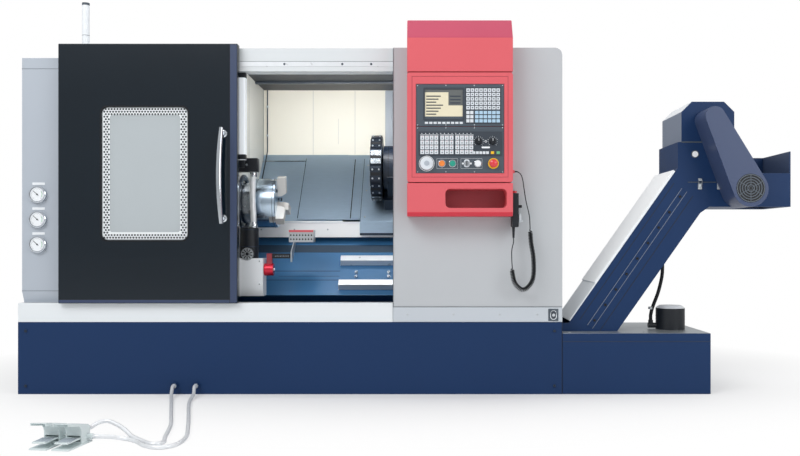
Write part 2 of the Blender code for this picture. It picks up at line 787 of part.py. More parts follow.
def build_enclosure():
    """Left cabinet, fixed shell, liner, right cover, ledge and work light."""
    floor = BASE_HEIGHT + GAP
    sill = LEDGE_TOP + GAP
    cabinet_front = FRONT + CABINET_SETBACK
    behind_ledge = FRONT + LEDGE_DEPTH + GAP
    top = LEDGE_TOP + CABINET_HEIGHT
    body = prism(
        [
            (cabinet_front + PLINTH_SLOPE, sill),
            (cabinet_front + PLINTH_SLOPE, sill + 0.010),
            (cabinet_front, sill + PLINTH_HEIGHT),
            (cabinet_front, top),
            (BACK - 0.010, top),
            (BACK - 0.010, floor),
            (behind_ledge, floor),
            (behind_ledge, sill),
        ],
        "X",
        CABINET_LEFT,
        DOOR_LEFT - GAP,
    )
    inside = block((CABINET_LEFT + SHEET, behind_ledge + SHEET, floor - 0.010),
                   (DOOR_LEFT + 0.010, BACK - 0.010 - SHEET, top - SHEET))
    gauges = [
        turned(
            [(cabinet_front + 0.006, 0), (cabinet_front + 0.006, 0.040), (cabinet_front - 0.012, 0.040),
             (cabinet_front - 0.016, 0.036), (cabinet_front - 0.016, 0)],
            "Y",
            (CABINET_LEFT + CABINET_WIDTH * 0.41, LEDGE_TOP + 0.280 + 0.1195 * i),
            sides=24,
        )
        for i in range(3)
    ]
    piece("left_cabinet", "pale", body, add=gauges, cut=[inside])

    front = SHELL_FRONT
    rear = BACK - 0.005
    under = ROOF - HEADER_HEIGHT
    right = OPENING_RIGHT - GAP
    header_back = front + HEADER_DEPTH
    header = block((DOOR_LEFT, front, under), (right, header_back, ROOF))
    hollow = block((DOOR_LEFT + SHEET, front + 2 * SHEET, under + SHEET),
                   (OPENING_RIGHT + 0.010, header_back - SHEET, ROOF - SHEET))
    rail = block((OPENING_LEFT + 0.005, front - 0.010, under + RAIL_UP),
                 (OPENING_RIGHT - 0.036, front + RAIL_GROOVE, under + RAIL_UP + RAIL_HEIGHT))
    panel = block((DOOR_LEFT, front, sill), (OPENING_LEFT - 0.040, front + SHEET, under + 0.005))
    lintel = block((DOOR_LEFT, header_back - 0.002, top - 0.015), (DOOR_LEFT + SHEET, rear, ROOF))
    roof = block((DOOR_LEFT, header_back - 0.002, ROOF - SHEET), (right, rear, ROOF))
    back_left = block((DOOR_LEFT, rear - SHEET, floor), (right, rear, ROOF))
    corner = COVER_CORNER
    back_right = prism(
        [
            (right - 0.010, floor),
            (RIGHT - SHEET - GAP, floor),
            (RIGHT - SHEET - GAP, ROOF - corner),
            (RIGHT - corner, ROOF - SHEET - GAP),
            (right - 0.010, ROOF - SHEET - GAP),
        ],
        "Y",
        rear - SHEET,
        rear,
    )
    piece("enclosure_shell", "pale", header, add=[panel, lintel, roof, back_left, back_right],
          cut=[hollow, rail])

    build_liner()

    outside = [
        (OPENING_RIGHT, floor),
        (RIGHT, floor),
        *arc((RIGHT - corner, ROOF - corner), corner, 0, 90, 5),
        (OPENING_RIGHT, ROOF),
    ]
    inner = corner - SHEET
    opening = [
        (OPENING_RIGHT - 0.010, floor - 0.010),
        (RIGHT - SHEET, floor - 0.010),
        *arc((RIGHT - corner, ROOF - corner), inner, 0, 90, 5),
        (OPENING_RIGHT - 0.010, ROOF - SHEET),
    ]
    rim = 0.030
    cover = prism(outside, "Y", FRONT, BACK)
    lock = block((RIGHT - 0.062, FRONT - 0.003, BASE_HEIGHT + 0.015),
                 (RIGHT - 0.016, FRONT + SHEET / 2, BASE_HEIGHT + 0.065))
    inside = [prism(opening, "Y", FRONT + rim, BACK + 0.010),
              block((OPENING_RIGHT + SHEET, FRONT + SHEET, floor - 0.010),
                    (RIGHT - corner, FRONT + rim + 0.010, ROOF - corner))]
    piece("right_cover", "pale", cover, add=[lock], cut=inside)

    ledge = block((LEFT, FRONT, floor), (OPENING_RIGHT - GAP, FRONT + LEDGE_DEPTH, LEDGE_TOP))
    channel = block((LEFT + SHEET, FRONT + SHEET, floor - 0.010),
                    (OPENING_RIGHT - SHEET, FRONT + LEDGE_DEPTH + 0.010, LEDGE_TOP - SHEET))
    piece("front_ledge", "pale", ledge, cut=[channel])

    light_left = OPENING_LEFT - 0.012
    light_front = front + HEADER_DEPTH / 3
    lamp = prism(
        rounded(light_left, light_front, light_left + 0.034, light_front + 0.039, 0.008),
        "Z",
        1.125,
        under - GAP,
    )
    piece("work_light", "white", lamp)


def build_liner():
    """Liner of the work area: side walls, ceiling, back wall, fixed cover leaf and apron."""
    leaf_out = COVER_OUT - 2 * LEAF_PITCH
    wall_y = FRONT + BACK_WALL_SETBACK
    ceiling = ROOF - CEILING_DROP
    cover_top = slant(COVER_UP_END, leaf_out)
    cover_foot = slant(COVER_UP_START, leaf_out)
    start_y = SHELL_FRONT + HEADER_DEPTH + GAP
    inset = 0.001
    leaf_end = COVER_UP_END - 3 * inset

    def side_wall(x, foot_out):
        return prism(
            [
                (start_y + inset, LEDGE_TOP + 0.020),
                slant(BED_UP_START - 0.010, foot_out),
                slant(COVER_UP_END, foot_out),
                (wall_y + SHEET - inset, ceiling - inset),
                (start_y + inset, ceiling - inset),
            ],
            "X",
            x,
            x + SHEET,
        )

    x0, x1 = WORK_LEFT - SHEET / 2, LINER_RIGHT + SHEET / 2
    roof = block((x0, start_y, ceiling - SHEET), (x1, wall_y + SHEET, ceiling))
    back = block((x0, wall_y, cover_top[1] - 0.006), (x1, wall_y + SHEET - inset / 2, ceiling - inset / 2))
    fixed = prism(slanted(rectangle(COVER_UP_START, leaf_out - LEAF, leaf_end, leaf_out)), "X",
                  x0, FIXED_LEAF_END)
    upper = prism(
        slanted(rectangle(COVER_UP_END - 0.058, leaf_out - LEAF - inset, leaf_end - inset, leaf_out - inset)),
        "X", FIXED_LEAF_END - 0.010, x1)
    apron = block((x0, cover_foot[0] - SHEET / 2, cover_foot[1] - APRON_HEIGHT),
                  (x1, cover_foot[0] + SHEET / 2, cover_foot[1] - 0.003))
    apron_left = block((x0, cover_foot[0] - SHEET / 2 + inset, cover_foot[1] - 0.010),
                       (FIXED_LEAF_END, cover_foot[0] + SHEET / 2 - inset, cover_foot[1] - 0.001))
    nose = drum("X", (SPINDLE_Y, SPINDLE_HEIGHT), NOSE_RADIUS + 0.006, WORK_LEFT - 0.020, WORK_LEFT + 0.020,
                sides=48)
    piece("inner_liner", "cream", side_wall(WORK_LEFT - SHEET, BED_OUT + GAP),
          add=[side_wall(LINER_RIGHT, COVER_OUT - 0.0105), roof, back, fixed, upper, apron_left, apron],
          cut=[nose])


def build_saddle():
    """Saddle with its cover leaf, the middle leaf, the cross slide and the turret disc."""
    carriage_foot = BED_OUT + SADDLE_WAY_HEIGHT + GAP
    plate_top = COVER_OUT + LEAF + SADDLE_PLATE
    start, stop = COVER_UP_START + 0.012, COVER_UP_END - 0.060
    leaf = prism(slanted(rectangle(start, COVER_OUT, stop, COVER_OUT + LEAF)), "X",
                 SADDLE_LEAF_START, SADDLE_RIGHT)
    plate = prism(slanted(rectangle(start - 0.030, COVER_OUT + LEAF / 2, stop, plate_top)), "X",
                  SADDLE_LEFT, SADDLE_RIGHT)
    lip_top = slant(start - 0.030, plate_top)
    lip = prism(
        [
            lip_top,
            slant(start - 0.018, COVER_OUT + LEAF / 2),
            (slant(start - 0.030, plate_top)[0] + 0.006, lip_top[1] - 0.075),
            (lip_top[0], lip_top[1] - 0.075),
        ],
        "X",
        SADDLE_LEFT,
        SADDLE_RIGHT,
    )
    carriage = prism(slanted(rectangle(0.080, carriage_foot, 0.575, COVER_OUT + 0.001)), "X",
                     CARRIAGE_LEFT, SADDLE_RIGHT)
    nut_outline = rectangle(SCREW_UP - 0.045, BED_OUT + 0.002, SCREW_UP + 0.045, carriage_foot + 0.010)
    nut = prism(slanted(nut_outline),
                "X", CARRIAGE_LEFT + 0.060, SADDLE_RIGHT - 0.060)
    hole = drum("X", slant(SCREW_UP, SCREW_OUT), SCREW_RADIUS + RUNNING_GAP,
                CARRIAGE_LEFT, SADDLE_RIGHT, sides=24)
    place = (SADDLE_LEFT, *slant(0, COVER_OUT))
    axis = pivot("saddle_slide_axis", place)
    piece("saddle", "dark", leaf, add=[plate, lip, carriage, nut], cut=[hole], origin=place, parent=axis)

    middle_out = COVER_OUT - LEAF_PITCH
    middle = prism(slanted(rectangle(start - 0.006, middle_out, stop + 0.010, middle_out + LEAF)),
                   "X", MIDDLE_LEAF_START, MIDDLE_LEAF_END)
    place = (MIDDLE_LEAF_START, *slant(0, middle_out))
    piece("way_cover", "steel", middle, origin=place, parent=pivot("way_cover_axis", place))

    centre = slant(TURRET_UP, 0)
    body_left = TURRET_LEFT + TURRET_THICKNESS + 0.0055
    body_right = body_left + TURRET_BODY_LENGTH
    seat = plate_top + GAP
    plate = prism(slanted(rectangle(CROSS_PLATE_START, seat, CROSS_PLATE_END, seat + CROSS_PLATE_HEIGHT)),
                  "X", body_left, body_right + 0.030)
    half = TURRET_BODY_RADIUS
    column = prism(
        slanted(rectangle(TURRET_UP - half, seat + 0.010, TURRET_UP + half, half * 0.3)),
        "X", body_left + 0.020, body_right)
    housing = drum("X", centre, half, body_left, body_right, sides=32)
    place = (body_left, *centre)
    slide = pivot("cross_slide_axis", place)
    piece("cross_slide", "dark", plate, add=[column, housing], origin=place, parent=slide)

    profile = [
        (TURRET_LEFT, 0),
        (TURRET_LEFT, TURRET_RADIUS),
        (TURRET_LEFT + TURRET_THICKNESS, TURRET_RADIUS),
        (TURRET_LEFT + TURRET_THICKNESS, TURRET_RADIUS * 0.5),
        (body_left - GAP, TURRET_RADIUS * 0.5),
        (body_left - GAP, 0),
    ]
    place = (TURRET_LEFT, *centre)
    disc = turned(profile, "X", centre, sides=TURRET_STATIONS)
    slots = []
    for i in range(TURRET_STATIONS):
        reach = TURRET_RADIUS
        slot = block((TURRET_LEFT - 0.010, centre[0] + reach - 0.030, centre[1] - 0.012),
                     (TURRET_LEFT + 0.018, centre[0] + reach + 0.010, centre[1] + 0.012))
        slots.append(moved(slot, turn_about("X", 360 * (i + 0.5) / TURRET_STATIONS, (0, *centre))))
    piece("turret_disc", "steel", disc, cut=slots, origin=place, parent=pivot("turret_axis", place))


def build_tailstock():
    """Tailstock on its two ways, with the quill and its centre."""
    foot = BED_OUT + TAIL_WAY_HEIGHT + GAP
    low, high = TAIL_WAY_UPS[0] - 0.050, TAIL_WAY_UPS[1] + 0.030
    outline = [(low, foot), (high, foot), (-0.035, -0.110), (0.030, -0.090), (0.072, -0.030),
               (0.072, 0.040), (0.040, 0.075), (-0.040, 0.075), (-0.100, 0.020), (low, foot + 0.050)]
    centre = (SPINDLE_Y, SPINDLE_HEIGHT)
    tail_right = TAIL_LEFT + TAIL_LENGTH
    bore = drum("X", centre, QUILL_RADIUS + RUNNING_GAP, TAIL_LEFT - 0.010, tail_right - 0.015, sides=32)
    place = (TAIL_LEFT, *centre)
    axis = pivot("tailstock_axis", place)
    piece("tailstock_body", "bed_blue", prism(slanted(outline), "X", TAIL_LEFT, tail_right), cut=[bore],
          origin=place, parent=axis)
    nose = TAIL_LEFT - QUILL_PROUD
    profile = [
        (tail_right - 0.020, 0),
        (tail_right - 0.020, QUILL_RADIUS),
        (nose, QUILL_RADIUS),
        (nose, 0.022),
        (nose - CENTRE_LENGTH * 0.4, 0.022),
        (nose - CENTRE_LENGTH, 0),
    ]
    piece("quill", "steel", turned(profile, "X", centre, sides=32), origin=place, parent=axis)


def build_catcher():
    """Parts catcher: drive box, armoured hose and the swinging arm with its tray."""
    box_front = FRONT + CATCHER_BOX_FRONT
    box_back = box_front + CATCHER_BOX_DEPTH
    box_left = WORK_LEFT + GAP
    box_right = box_left + CATCHER_BOX_WIDTH
    box_top = CATCHER_BOX_BOTTOM + CATCHER_BOX_HEIGHT
    side = [
        (box_back, CATCHER_BOX_BOTTOM),
        (box_back, box_top),
        (box_front, box_top),
        (box_front, CATCHER_BOX_BOTTOM + 0.052),
        (box_front + 0.018, CATCHER_BOX_BOTTOM),
    ]
    middle = (box_front + box_back) / 2
    drum_x = box_left + CATCHER_DRUM_RADIUS + 0.022
    motor = drum("Z", (drum_x, middle), CATCHER_DRUM_RADIUS, box_top - 0.010, box_top + CATCHER_DRUM_HEIGHT,
                 sides=24)
    eye = drum("Y", (drum_x, box_top + 0.022), 0.032, box_front - 0.006, middle, sides=24)
    piece("catcher_box", "white", prism(side, "X", box_left, box_right), add=[motor, eye])

    hose_foot = box_top + CATCHER_DRUM_HEIGHT + GAP
    hose_x = drum_x + 0.020
    hose = drum("Z", (hose_x, middle), CONDUIT_RADIUS, hose_foot, 1.100, sides=12)
    clamp = block((box_left, middle - 0.024, 1.076), (hose_x + 0.026, middle + 0.024, 1.144))
    piece("catcher_conduit", "steel", hose, add=[clamp])

    pivot_y = middle
    hub_left = box_right + GAP
    hub = drum("X", (pivot_y, CATCHER_PIVOT_HEIGHT), CATCHER_HUB_RADIUS, hub_left,
               hub_left + CATCHER_HUB_LENGTH, sides=24)
    arm_height = CATCHER_PIVOT_HEIGHT + CATCHER_ARM_RISE
    arm_left = hub_left + 0.012
    arm_right = arm_left + CATCHER_ARM_LENGTH
    link = block((arm_left, pivot_y - 0.014, CATCHER_PIVOT_HEIGHT), (arm_left + 0.026, pivot_y + 0.014,
                                                                    arm_height + 0.013))
    bar = block((arm_left + 0.020, pivot_y - 0.012, arm_height - 0.012), (arm_right, pivot_y + 0.012,
                                                                         arm_height + 0.012))
    tray_middle = pivot_y + CATCHER_TRAY_BACK
    tray_low = CATCHER_PIVOT_HEIGHT + CATCHER_TRAY_RISE
    bracket = prism(
        [
            (pivot_y - 0.016, arm_height - 0.030),
            (pivot_y + 0.016, arm_height - 0.030),
            (tray_middle + 0.010, tray_low - 0.004),
            (tray_middle + 0.010, tray_low + 0.002),
            (tray_middle - 0.040, tray_low + 0.002),
            (pivot_y - 0.016, arm_height + 0.020),
        ],
        "X",
        arm_right - 0.006,
        arm_right,
    )
    tray_left = arm_right - 0.028
    half = CATCHER_TRAY_DEPTH / 2
    tray = block((tray_left, tray_middle - half, tray_low),
                 (tray_left + CATCHER_TRAY_LENGTH, tray_middle + half, tray_low + CATCHER_TRAY_HEIGHT))
    wall = 0.003
    hollow = block(
        (tray_left + wall, tray_middle - half + wall, tray_low + wall),
        (tray_left + CATCHER_TRAY_LENGTH - wall, tray_middle + half - wall,
         tray_low + CATCHER_TRAY_HEIGHT + wall))
    place = (hub_left, pivot_y, CATCHER_PIVOT_HEIGHT)
    piece("catcher_arm", "red", hub, add=[link, bar, bracket, tray], cut=[hollow], origin=place,
          parent=pivot("catcher_axis", place))


def smooth_route(points, spacing):
    """Points at even spacing along a smooth curve through a route, with straight ends."""
    points = [Vector(p) for p in points]
    first = points[0] * 2 - points[1]
    last = points[-1] * 2 - points[-2]
    track = [first, *points, last]
    fine = []
    for a, b, c, d in zip(track, track[1:], track[2:], track[3:]):
        for i in range(24):
            t = i / 24
            fine.append(0.5 * (2 * b + (c - a) * t + (2 * a - 5 * b + 4 * c - d) * t**2
                               + (3 * b - a - 3 * c + d) * t**3))
    fine.append(points[-1])
    lengths = [0.0]
    for a, b in zip(fine, fine[1:]):
        lengths.append(lengths[-1] + (b - a).length)
    count = max(2, round(lengths[-1] / spacing))
    even, k = [], 0
    for i in range(count + 1):
        want = lengths[-1] * i / count
        while k < len(fine) - 2 and lengths[k + 1] < want:
            k += 1
        share = (want - lengths[k]) / (lengths[k + 1] - lengths[k])
        even.append(fine[k].lerp(fine[k + 1], share))
    step = lengths[-1] / count
    even[1] = points[0] + (points[1] - points[0]).normalized() * step
    even[-2] = points[-1] + (points[-2] - points[-1]).normalized() * step
    return even


def trimmed(points, at_start, at_end):
    """A route whose first and last points are drawn in by these lengths."""
    points = [p.copy() for p in points]
    points[0] += (points[1] - points[0]).normalized() * at_start
    points[-1] += (points[-2] - points[-1]).normalized() * at_end
    return points


def tube(name, finish, points, radius, resolution=2):
    """A round tube along a route, as a curve with filled caps."""
    curve = bpy.data.curves.new(name, "CURVE")
    curve.dimensions = "3D"
    curve.bevel_depth = radius
    curve.bevel_resolution = resolution
    curve.use_fill_caps = True
    curve.render_resolution_u = 0
    spline = curve.splines.new("POLY")
    spline.points.add(len(points) - 1)
    for point, place in zip(spline.points, points):
        point.co = (*place, 1.0)
    item = bpy.data.objects.new(name, curve)
    curve.materials.append(finish_of(finish))
    bpy.context.scene.collection.objects.link(item)
    return item


def build_door():
    """Sliding door with its window and its bowed handle."""
    low = LEDGE_TOP + GAP
    face = FRONT - DOOR_PROUD
    back = face + DOOR_THICKNESS
    slab = block((DOOR_LEFT, face, low), (OPENING_LEFT, back, low + DOOR_HEIGHT))
    left = DOOR_LEFT + WINDOW_LEFT
    bottom = low + WINDOW_BOTTOM
    edges = (left, bottom, left + WINDOW_WIDTH, bottom + WINDOW_HEIGHT)
    hole = prism(rounded(*edges, WINDOW_CORNER), "Y", face - 0.010, back + 0.010)
    place = (OPENING_LEFT, back, low)
    axis = pivot("door_axis", place)
    piece("door_panel", "black_gloss", slab, cut=[hole], origin=place, parent=axis)
    pane_edges = (edges[0] + GAP, edges[1] + GAP, edges[2] - GAP, edges[3] - GAP)
    pane_outline = rounded(*pane_edges, WINDOW_CORNER - GAP)
    pane = prism(pane_outline, "Y", face + WINDOW_SETBACK, face + WINDOW_SETBACK + WINDOW_THICKNESS)
    piece("door_window", "glass", pane, origin=place, parent=axis)

    x = OPENING_LEFT - HANDLE_INSET
    z0 = low + HANDLE_BOTTOM
    z1 = z0 + HANDLE_LENGTH
    reach = face - HANDLE_REACH
    bend = 0.020
    ends = [(reach + bend, 0.0), (reach + 0.3 * bend, 0.3 * bend)]
    route = [Vector((x, face - GAP, z0)), *[Vector((x, y, z0 + up)) for y, up in ends]]
    for i in range(9):
        t = i / 8
        bow = HANDLE_BOW * math.sin(math.pi * t)
        route.append(Vector((x - bow, reach, z0 + bend + (HANDLE_LENGTH - 2 * bend) * t)))
    route += [Vector((x, y, z1 - up)) for y, up in reversed(ends)]
    route.append(Vector((x, face - GAP, z1)))
    handle = tube("door_handle", "steel", route, HANDLE_RADIUS, resolution=3)
    handle.parent = axis
    handle.location = -axis.location


def build_console():
    """Hood, box with its panels and controls, and tray with its recess."""
    back = FRONT - GAP
    left, right, front = CONSOLE_LEFT, CONSOLE_RIGHT, CONSOLE_FRONT
    hood = [(front, HOOD_BOTTOM), (front, HOOD_FOLD), (front + HOOD_SLOPE, HOOD_TOP), (back, HOOD_TOP),
            (back, HOOD_BOTTOM)]
    piece("console_hood", "red", prism(hood, "X", left, right))

    box_top = HOOD_BOTTOM - CONSOLE_GAP
    panels_low = OPERATOR_PANEL_BOTTOM
    seam = 0.0025
    screen_low = panels_low + OPERATOR_PANEL_HEIGHT + seam
    screen_high = screen_low + SCREEN_PANEL_HEIGHT
    edge = 0.001
    pocket = block((left + PANEL_INSET - edge, front - 0.010, panels_low - edge),
                   (right - PANEL_INSET + edge, front + PANEL_RECESS, screen_high + edge))
    gland = drum("X", (LEAD_PLANE, GLAND_HEIGHT), GLAND_RADIUS, right - 0.004, right + GLAND_LENGTH, sides=16)
    body = prism(rounded(left, BOX_BOTTOM, right, box_top, 0.012), "Y", front, back)
    piece("console_box", "red", body, add=[gland], cut=[pocket])

    tray_top = BOX_BOTTOM - CONSOLE_GAP
    side = [(front + 0.012, TRAY_BOTTOM), (front, TRAY_BOTTOM + 0.018), (front, tray_top), (back, tray_top),
            (back, TRAY_BOTTOM)]
    recess = prism(
        rounded(left + TRAY_OPENING_LEFT, TRAY_BOTTOM + TRAY_OPENING_BOTTOM,
                left + TRAY_OPENING_LEFT + TRAY_OPENING_WIDTH,
                TRAY_BOTTOM + TRAY_OPENING_BOTTOM + TRAY_OPENING_HEIGHT, 0.020),
        "Y", front - 0.010, front + TRAY_OPENING_DEPTH)
    piece("console_tray", "red", prism(side, "X", left, right), cut=[recess])

    seat = front + PANEL_RECESS - GAP
    face = seat - PANEL_THICKNESS
    screen = block((left + PANEL_INSET, face, screen_low), (right - PANEL_INSET, seat, screen_high))
    display = block((left + PANEL_INSET + 0.040, face - 0.010, screen_low + 0.032),
                    (left + PANEL_INSET + 0.217, face + 0.003, screen_low + 0.171))
    piece("screen_panel", "slate", screen, cut=[display])
    build_controls(face, seat)


def build_controls(face, seat):
    """Operator panel with its buttons, knobs, handwheel and emergency stop."""
    left, right = CONSOLE_LEFT + PANEL_INSET, CONSOLE_RIGHT - PANEL_INSET
    low = OPERATOR_PANEL_BOTTOM
    row = low + BUTTON_ROW
    knob_row = low + KNOB_ROW
    travel = 0.004
    running = 0.0005
    places = {
        "handwheel": (left + 0.049, row),
        "hold_button": (left + 0.119, row),
        "start_button": (left + 0.1686, row),
        "e_stop": (left + 0.358, row),
        "knob_feed": (left + 0.2895, knob_row),
        "knob_spindle": (left + 0.3548, knob_row),
    }
    holes = [
        drum("Y", places[name], radius + running, face - 0.010, seat + 0.010, sides=24)
        for name, radius in (("hold_button", BUTTON_RADIUS), ("start_button", BUTTON_RADIUS),
                             ("e_stop", E_STOP_STEM))
    ]
    ring = drum("Y", places["e_stop"], 0.025, face - 0.003, face + 0.001, sides=24)
    panel = block((left, face, low), (right, seat, low + OPERATOR_PANEL_HEIGHT))
    piece("operator_panel", "slate", panel, add=[ring], cut=holes)

    def control(name, finish, profile, extra=(), sides=24):
        x, z = places[name]
        place = (x, face, z)
        shape = turned([(face + along, radius) for along, radius in profile], "Y", (x, z), sides=sides)
        piece(name, finish, shape, add=extra, origin=place, parent=pivot(name + "_axis", place))

    button = [(travel, 0), (travel, BUTTON_RADIUS), (-0.009, BUTTON_RADIUS), (-0.011, BUTTON_RADIUS - 0.003),
              (-0.011, 0)]
    control("hold_button", "orange", button)
    control("start_button", "teal", button)
    control("e_stop", "red", [(travel, 0), (travel, E_STOP_STEM), (-0.010, E_STOP_STEM), (-0.010, E_STOP_RADIUS - 0.003),
                              (-0.014, E_STOP_RADIUS), (-0.024, E_STOP_RADIUS - 0.002), (-0.029, 0.010),
                              (-0.030, 0)])
    knob = [(-GAP, 0), (-GAP, KNOB_RADIUS), (-0.004, KNOB_RADIUS), (-0.018, KNOB_RADIUS - 0.003), (-0.018, 0)]
    control("knob_feed", "black", knob)
    control("knob_spindle", "black", knob)
    x, z = places["handwheel"]
    crank = drum("Y", (x + HANDWHEEL_RADIUS * 0.66, z), 0.0045, face - 0.034, face - 0.014, sides=12)
    wheel = [(-GAP, 0), (-GAP, 0.013), (-0.006, 0.013), (-0.006, HANDWHEEL_RADIUS - 0.002),
             (-0.009, HANDWHEEL_RADIUS), (-0.015, HANDWHEEL_RADIUS), (-0.018, HANDWHEEL_RADIUS - 0.003),
             (-0.018, 0)]
    control("handwheel", "white", wheel, extra=[crank], sides=32)


def build_pendant():
    """Hand pendant on the tray's side, its wheel and its coiled lead."""
    left = CONSOLE_RIGHT + GAP
    right = left + PENDANT_THICKNESS
    middle = LEAD_PLANE
    top = PENDANT_BOTTOM + PENDANT_HEIGHT
    body = prism(rounded(middle - PENDANT_DEPTH / 2, PENDANT_BOTTOM, middle + PENDANT_DEPTH / 2, top, 0.010),
                 "X", left, right)
    relief_x = left + 0.009
    relief_end = PENDANT_BOTTOM - 0.052
    relief = turned([(PENDANT_BOTTOM + 0.004, 0), (PENDANT_BOTTOM + 0.004, 0.0075),
                     (relief_end, 0.0045), (relief_end, 0)], "Z", (relief_x, middle), sides=16)
    centre = (left + right) / 2
    stop_knob = drum("Z", (centre, middle), 0.008, top - 0.002, top + 0.012, sides=16)
    selector = drum("X", (middle, PENDANT_BOTTOM + 0.097), 0.007, right - 0.002, right + 0.019, sides=16)
    piece("pendant", "black", body, add=[relief, stop_knob, selector])

    wheel_z = PENDANT_BOTTOM + 0.043
    radius = PENDANT_WHEEL_RADIUS
    wheel = turned([(right + GAP, 0), (right + GAP, 0.008), (right + 0.004, 0.008), (right + 0.004, radius),
                    (right + 0.012, radius), (right + 0.014, radius - 0.003), (right + 0.014, 0)], "X",
                   (middle, wheel_z), sides=32)
    crank = drum("X", (middle, wheel_z - radius * 0.68), 0.003, right + 0.010, right + 0.024, sides=12)
    place = (right, middle, wheel_z)
    axis = pivot("pendant_wheel_axis", place)
    piece("pendant_wheel", "white", wheel, add=[crank], origin=place, parent=axis)

    start = (CONSOLE_RIGHT + GLAND_LENGTH + GAP, middle, GLAND_HEIGHT)
    end = (relief_x, middle, relief_end - GAP)
    hang = CONSOLE_RIGHT
    upper = [start, (hang + 0.0260, middle, GLAND_HEIGHT), (hang + 0.0435, middle, 1.045),
             (hang + 0.0535, middle, 1.015), (hang + 0.0577, middle, 0.983), (hang + 0.0690, middle, 0.915),
             (hang + 0.0835, middle, 0.850), (hang + 0.0875, middle, 0.790)]
    coil = [(hang + 0.0875, middle, 0.7900), (hang + 0.0920, middle, 0.7225), (hang + 0.1025, middle, 0.6550),
            (hang + 0.1035, middle, 0.5733), (hang + 0.0890, middle, 0.5281), (hang + 0.0540, middle, 0.5013),
            (hang + 0.0185, middle, 0.5281), (hang + 0.0050, middle, 0.5733), (hang + 0.0030, middle, 0.6100)]
    lower = [(hang + 0.0030, middle, 0.6100), (hang + 0.0010, middle, 0.6467), (hang + 0.0015, middle, 0.690),
             (end[0], middle, end[2] - 0.020), end]
    pieces = (
        ("cord_upper", upper, LEAD_RADIUS, 0.0075, (0, GAP)),
        ("cord_coil", coil, COIL_RADIUS, 0.018, (0, 0)),
        ("cord_lower", lower, LEAD_RADIUS, 0.0075, (GAP, 0)),
    )
    for name, points, size, spacing, ends in pieces:
        tube(name, "rubber", trimmed(smooth_route(points, spacing), *ends), size)


def conveyor_edge(height):
    """X of the conveyor's upper edge at this height."""
    return CONVEYOR_FOOT + (height - CONVEYOR_LEVEL) / math.tan(math.radians(CONVEYOR_ANGLE))


def conveyor_underside(height):
    """X of the conveyor's lower edge at this height."""
    return conveyor_edge(height) + CONVEYOR_THICKNESS / math.sin(math.radians(CONVEYOR_ANGLE))


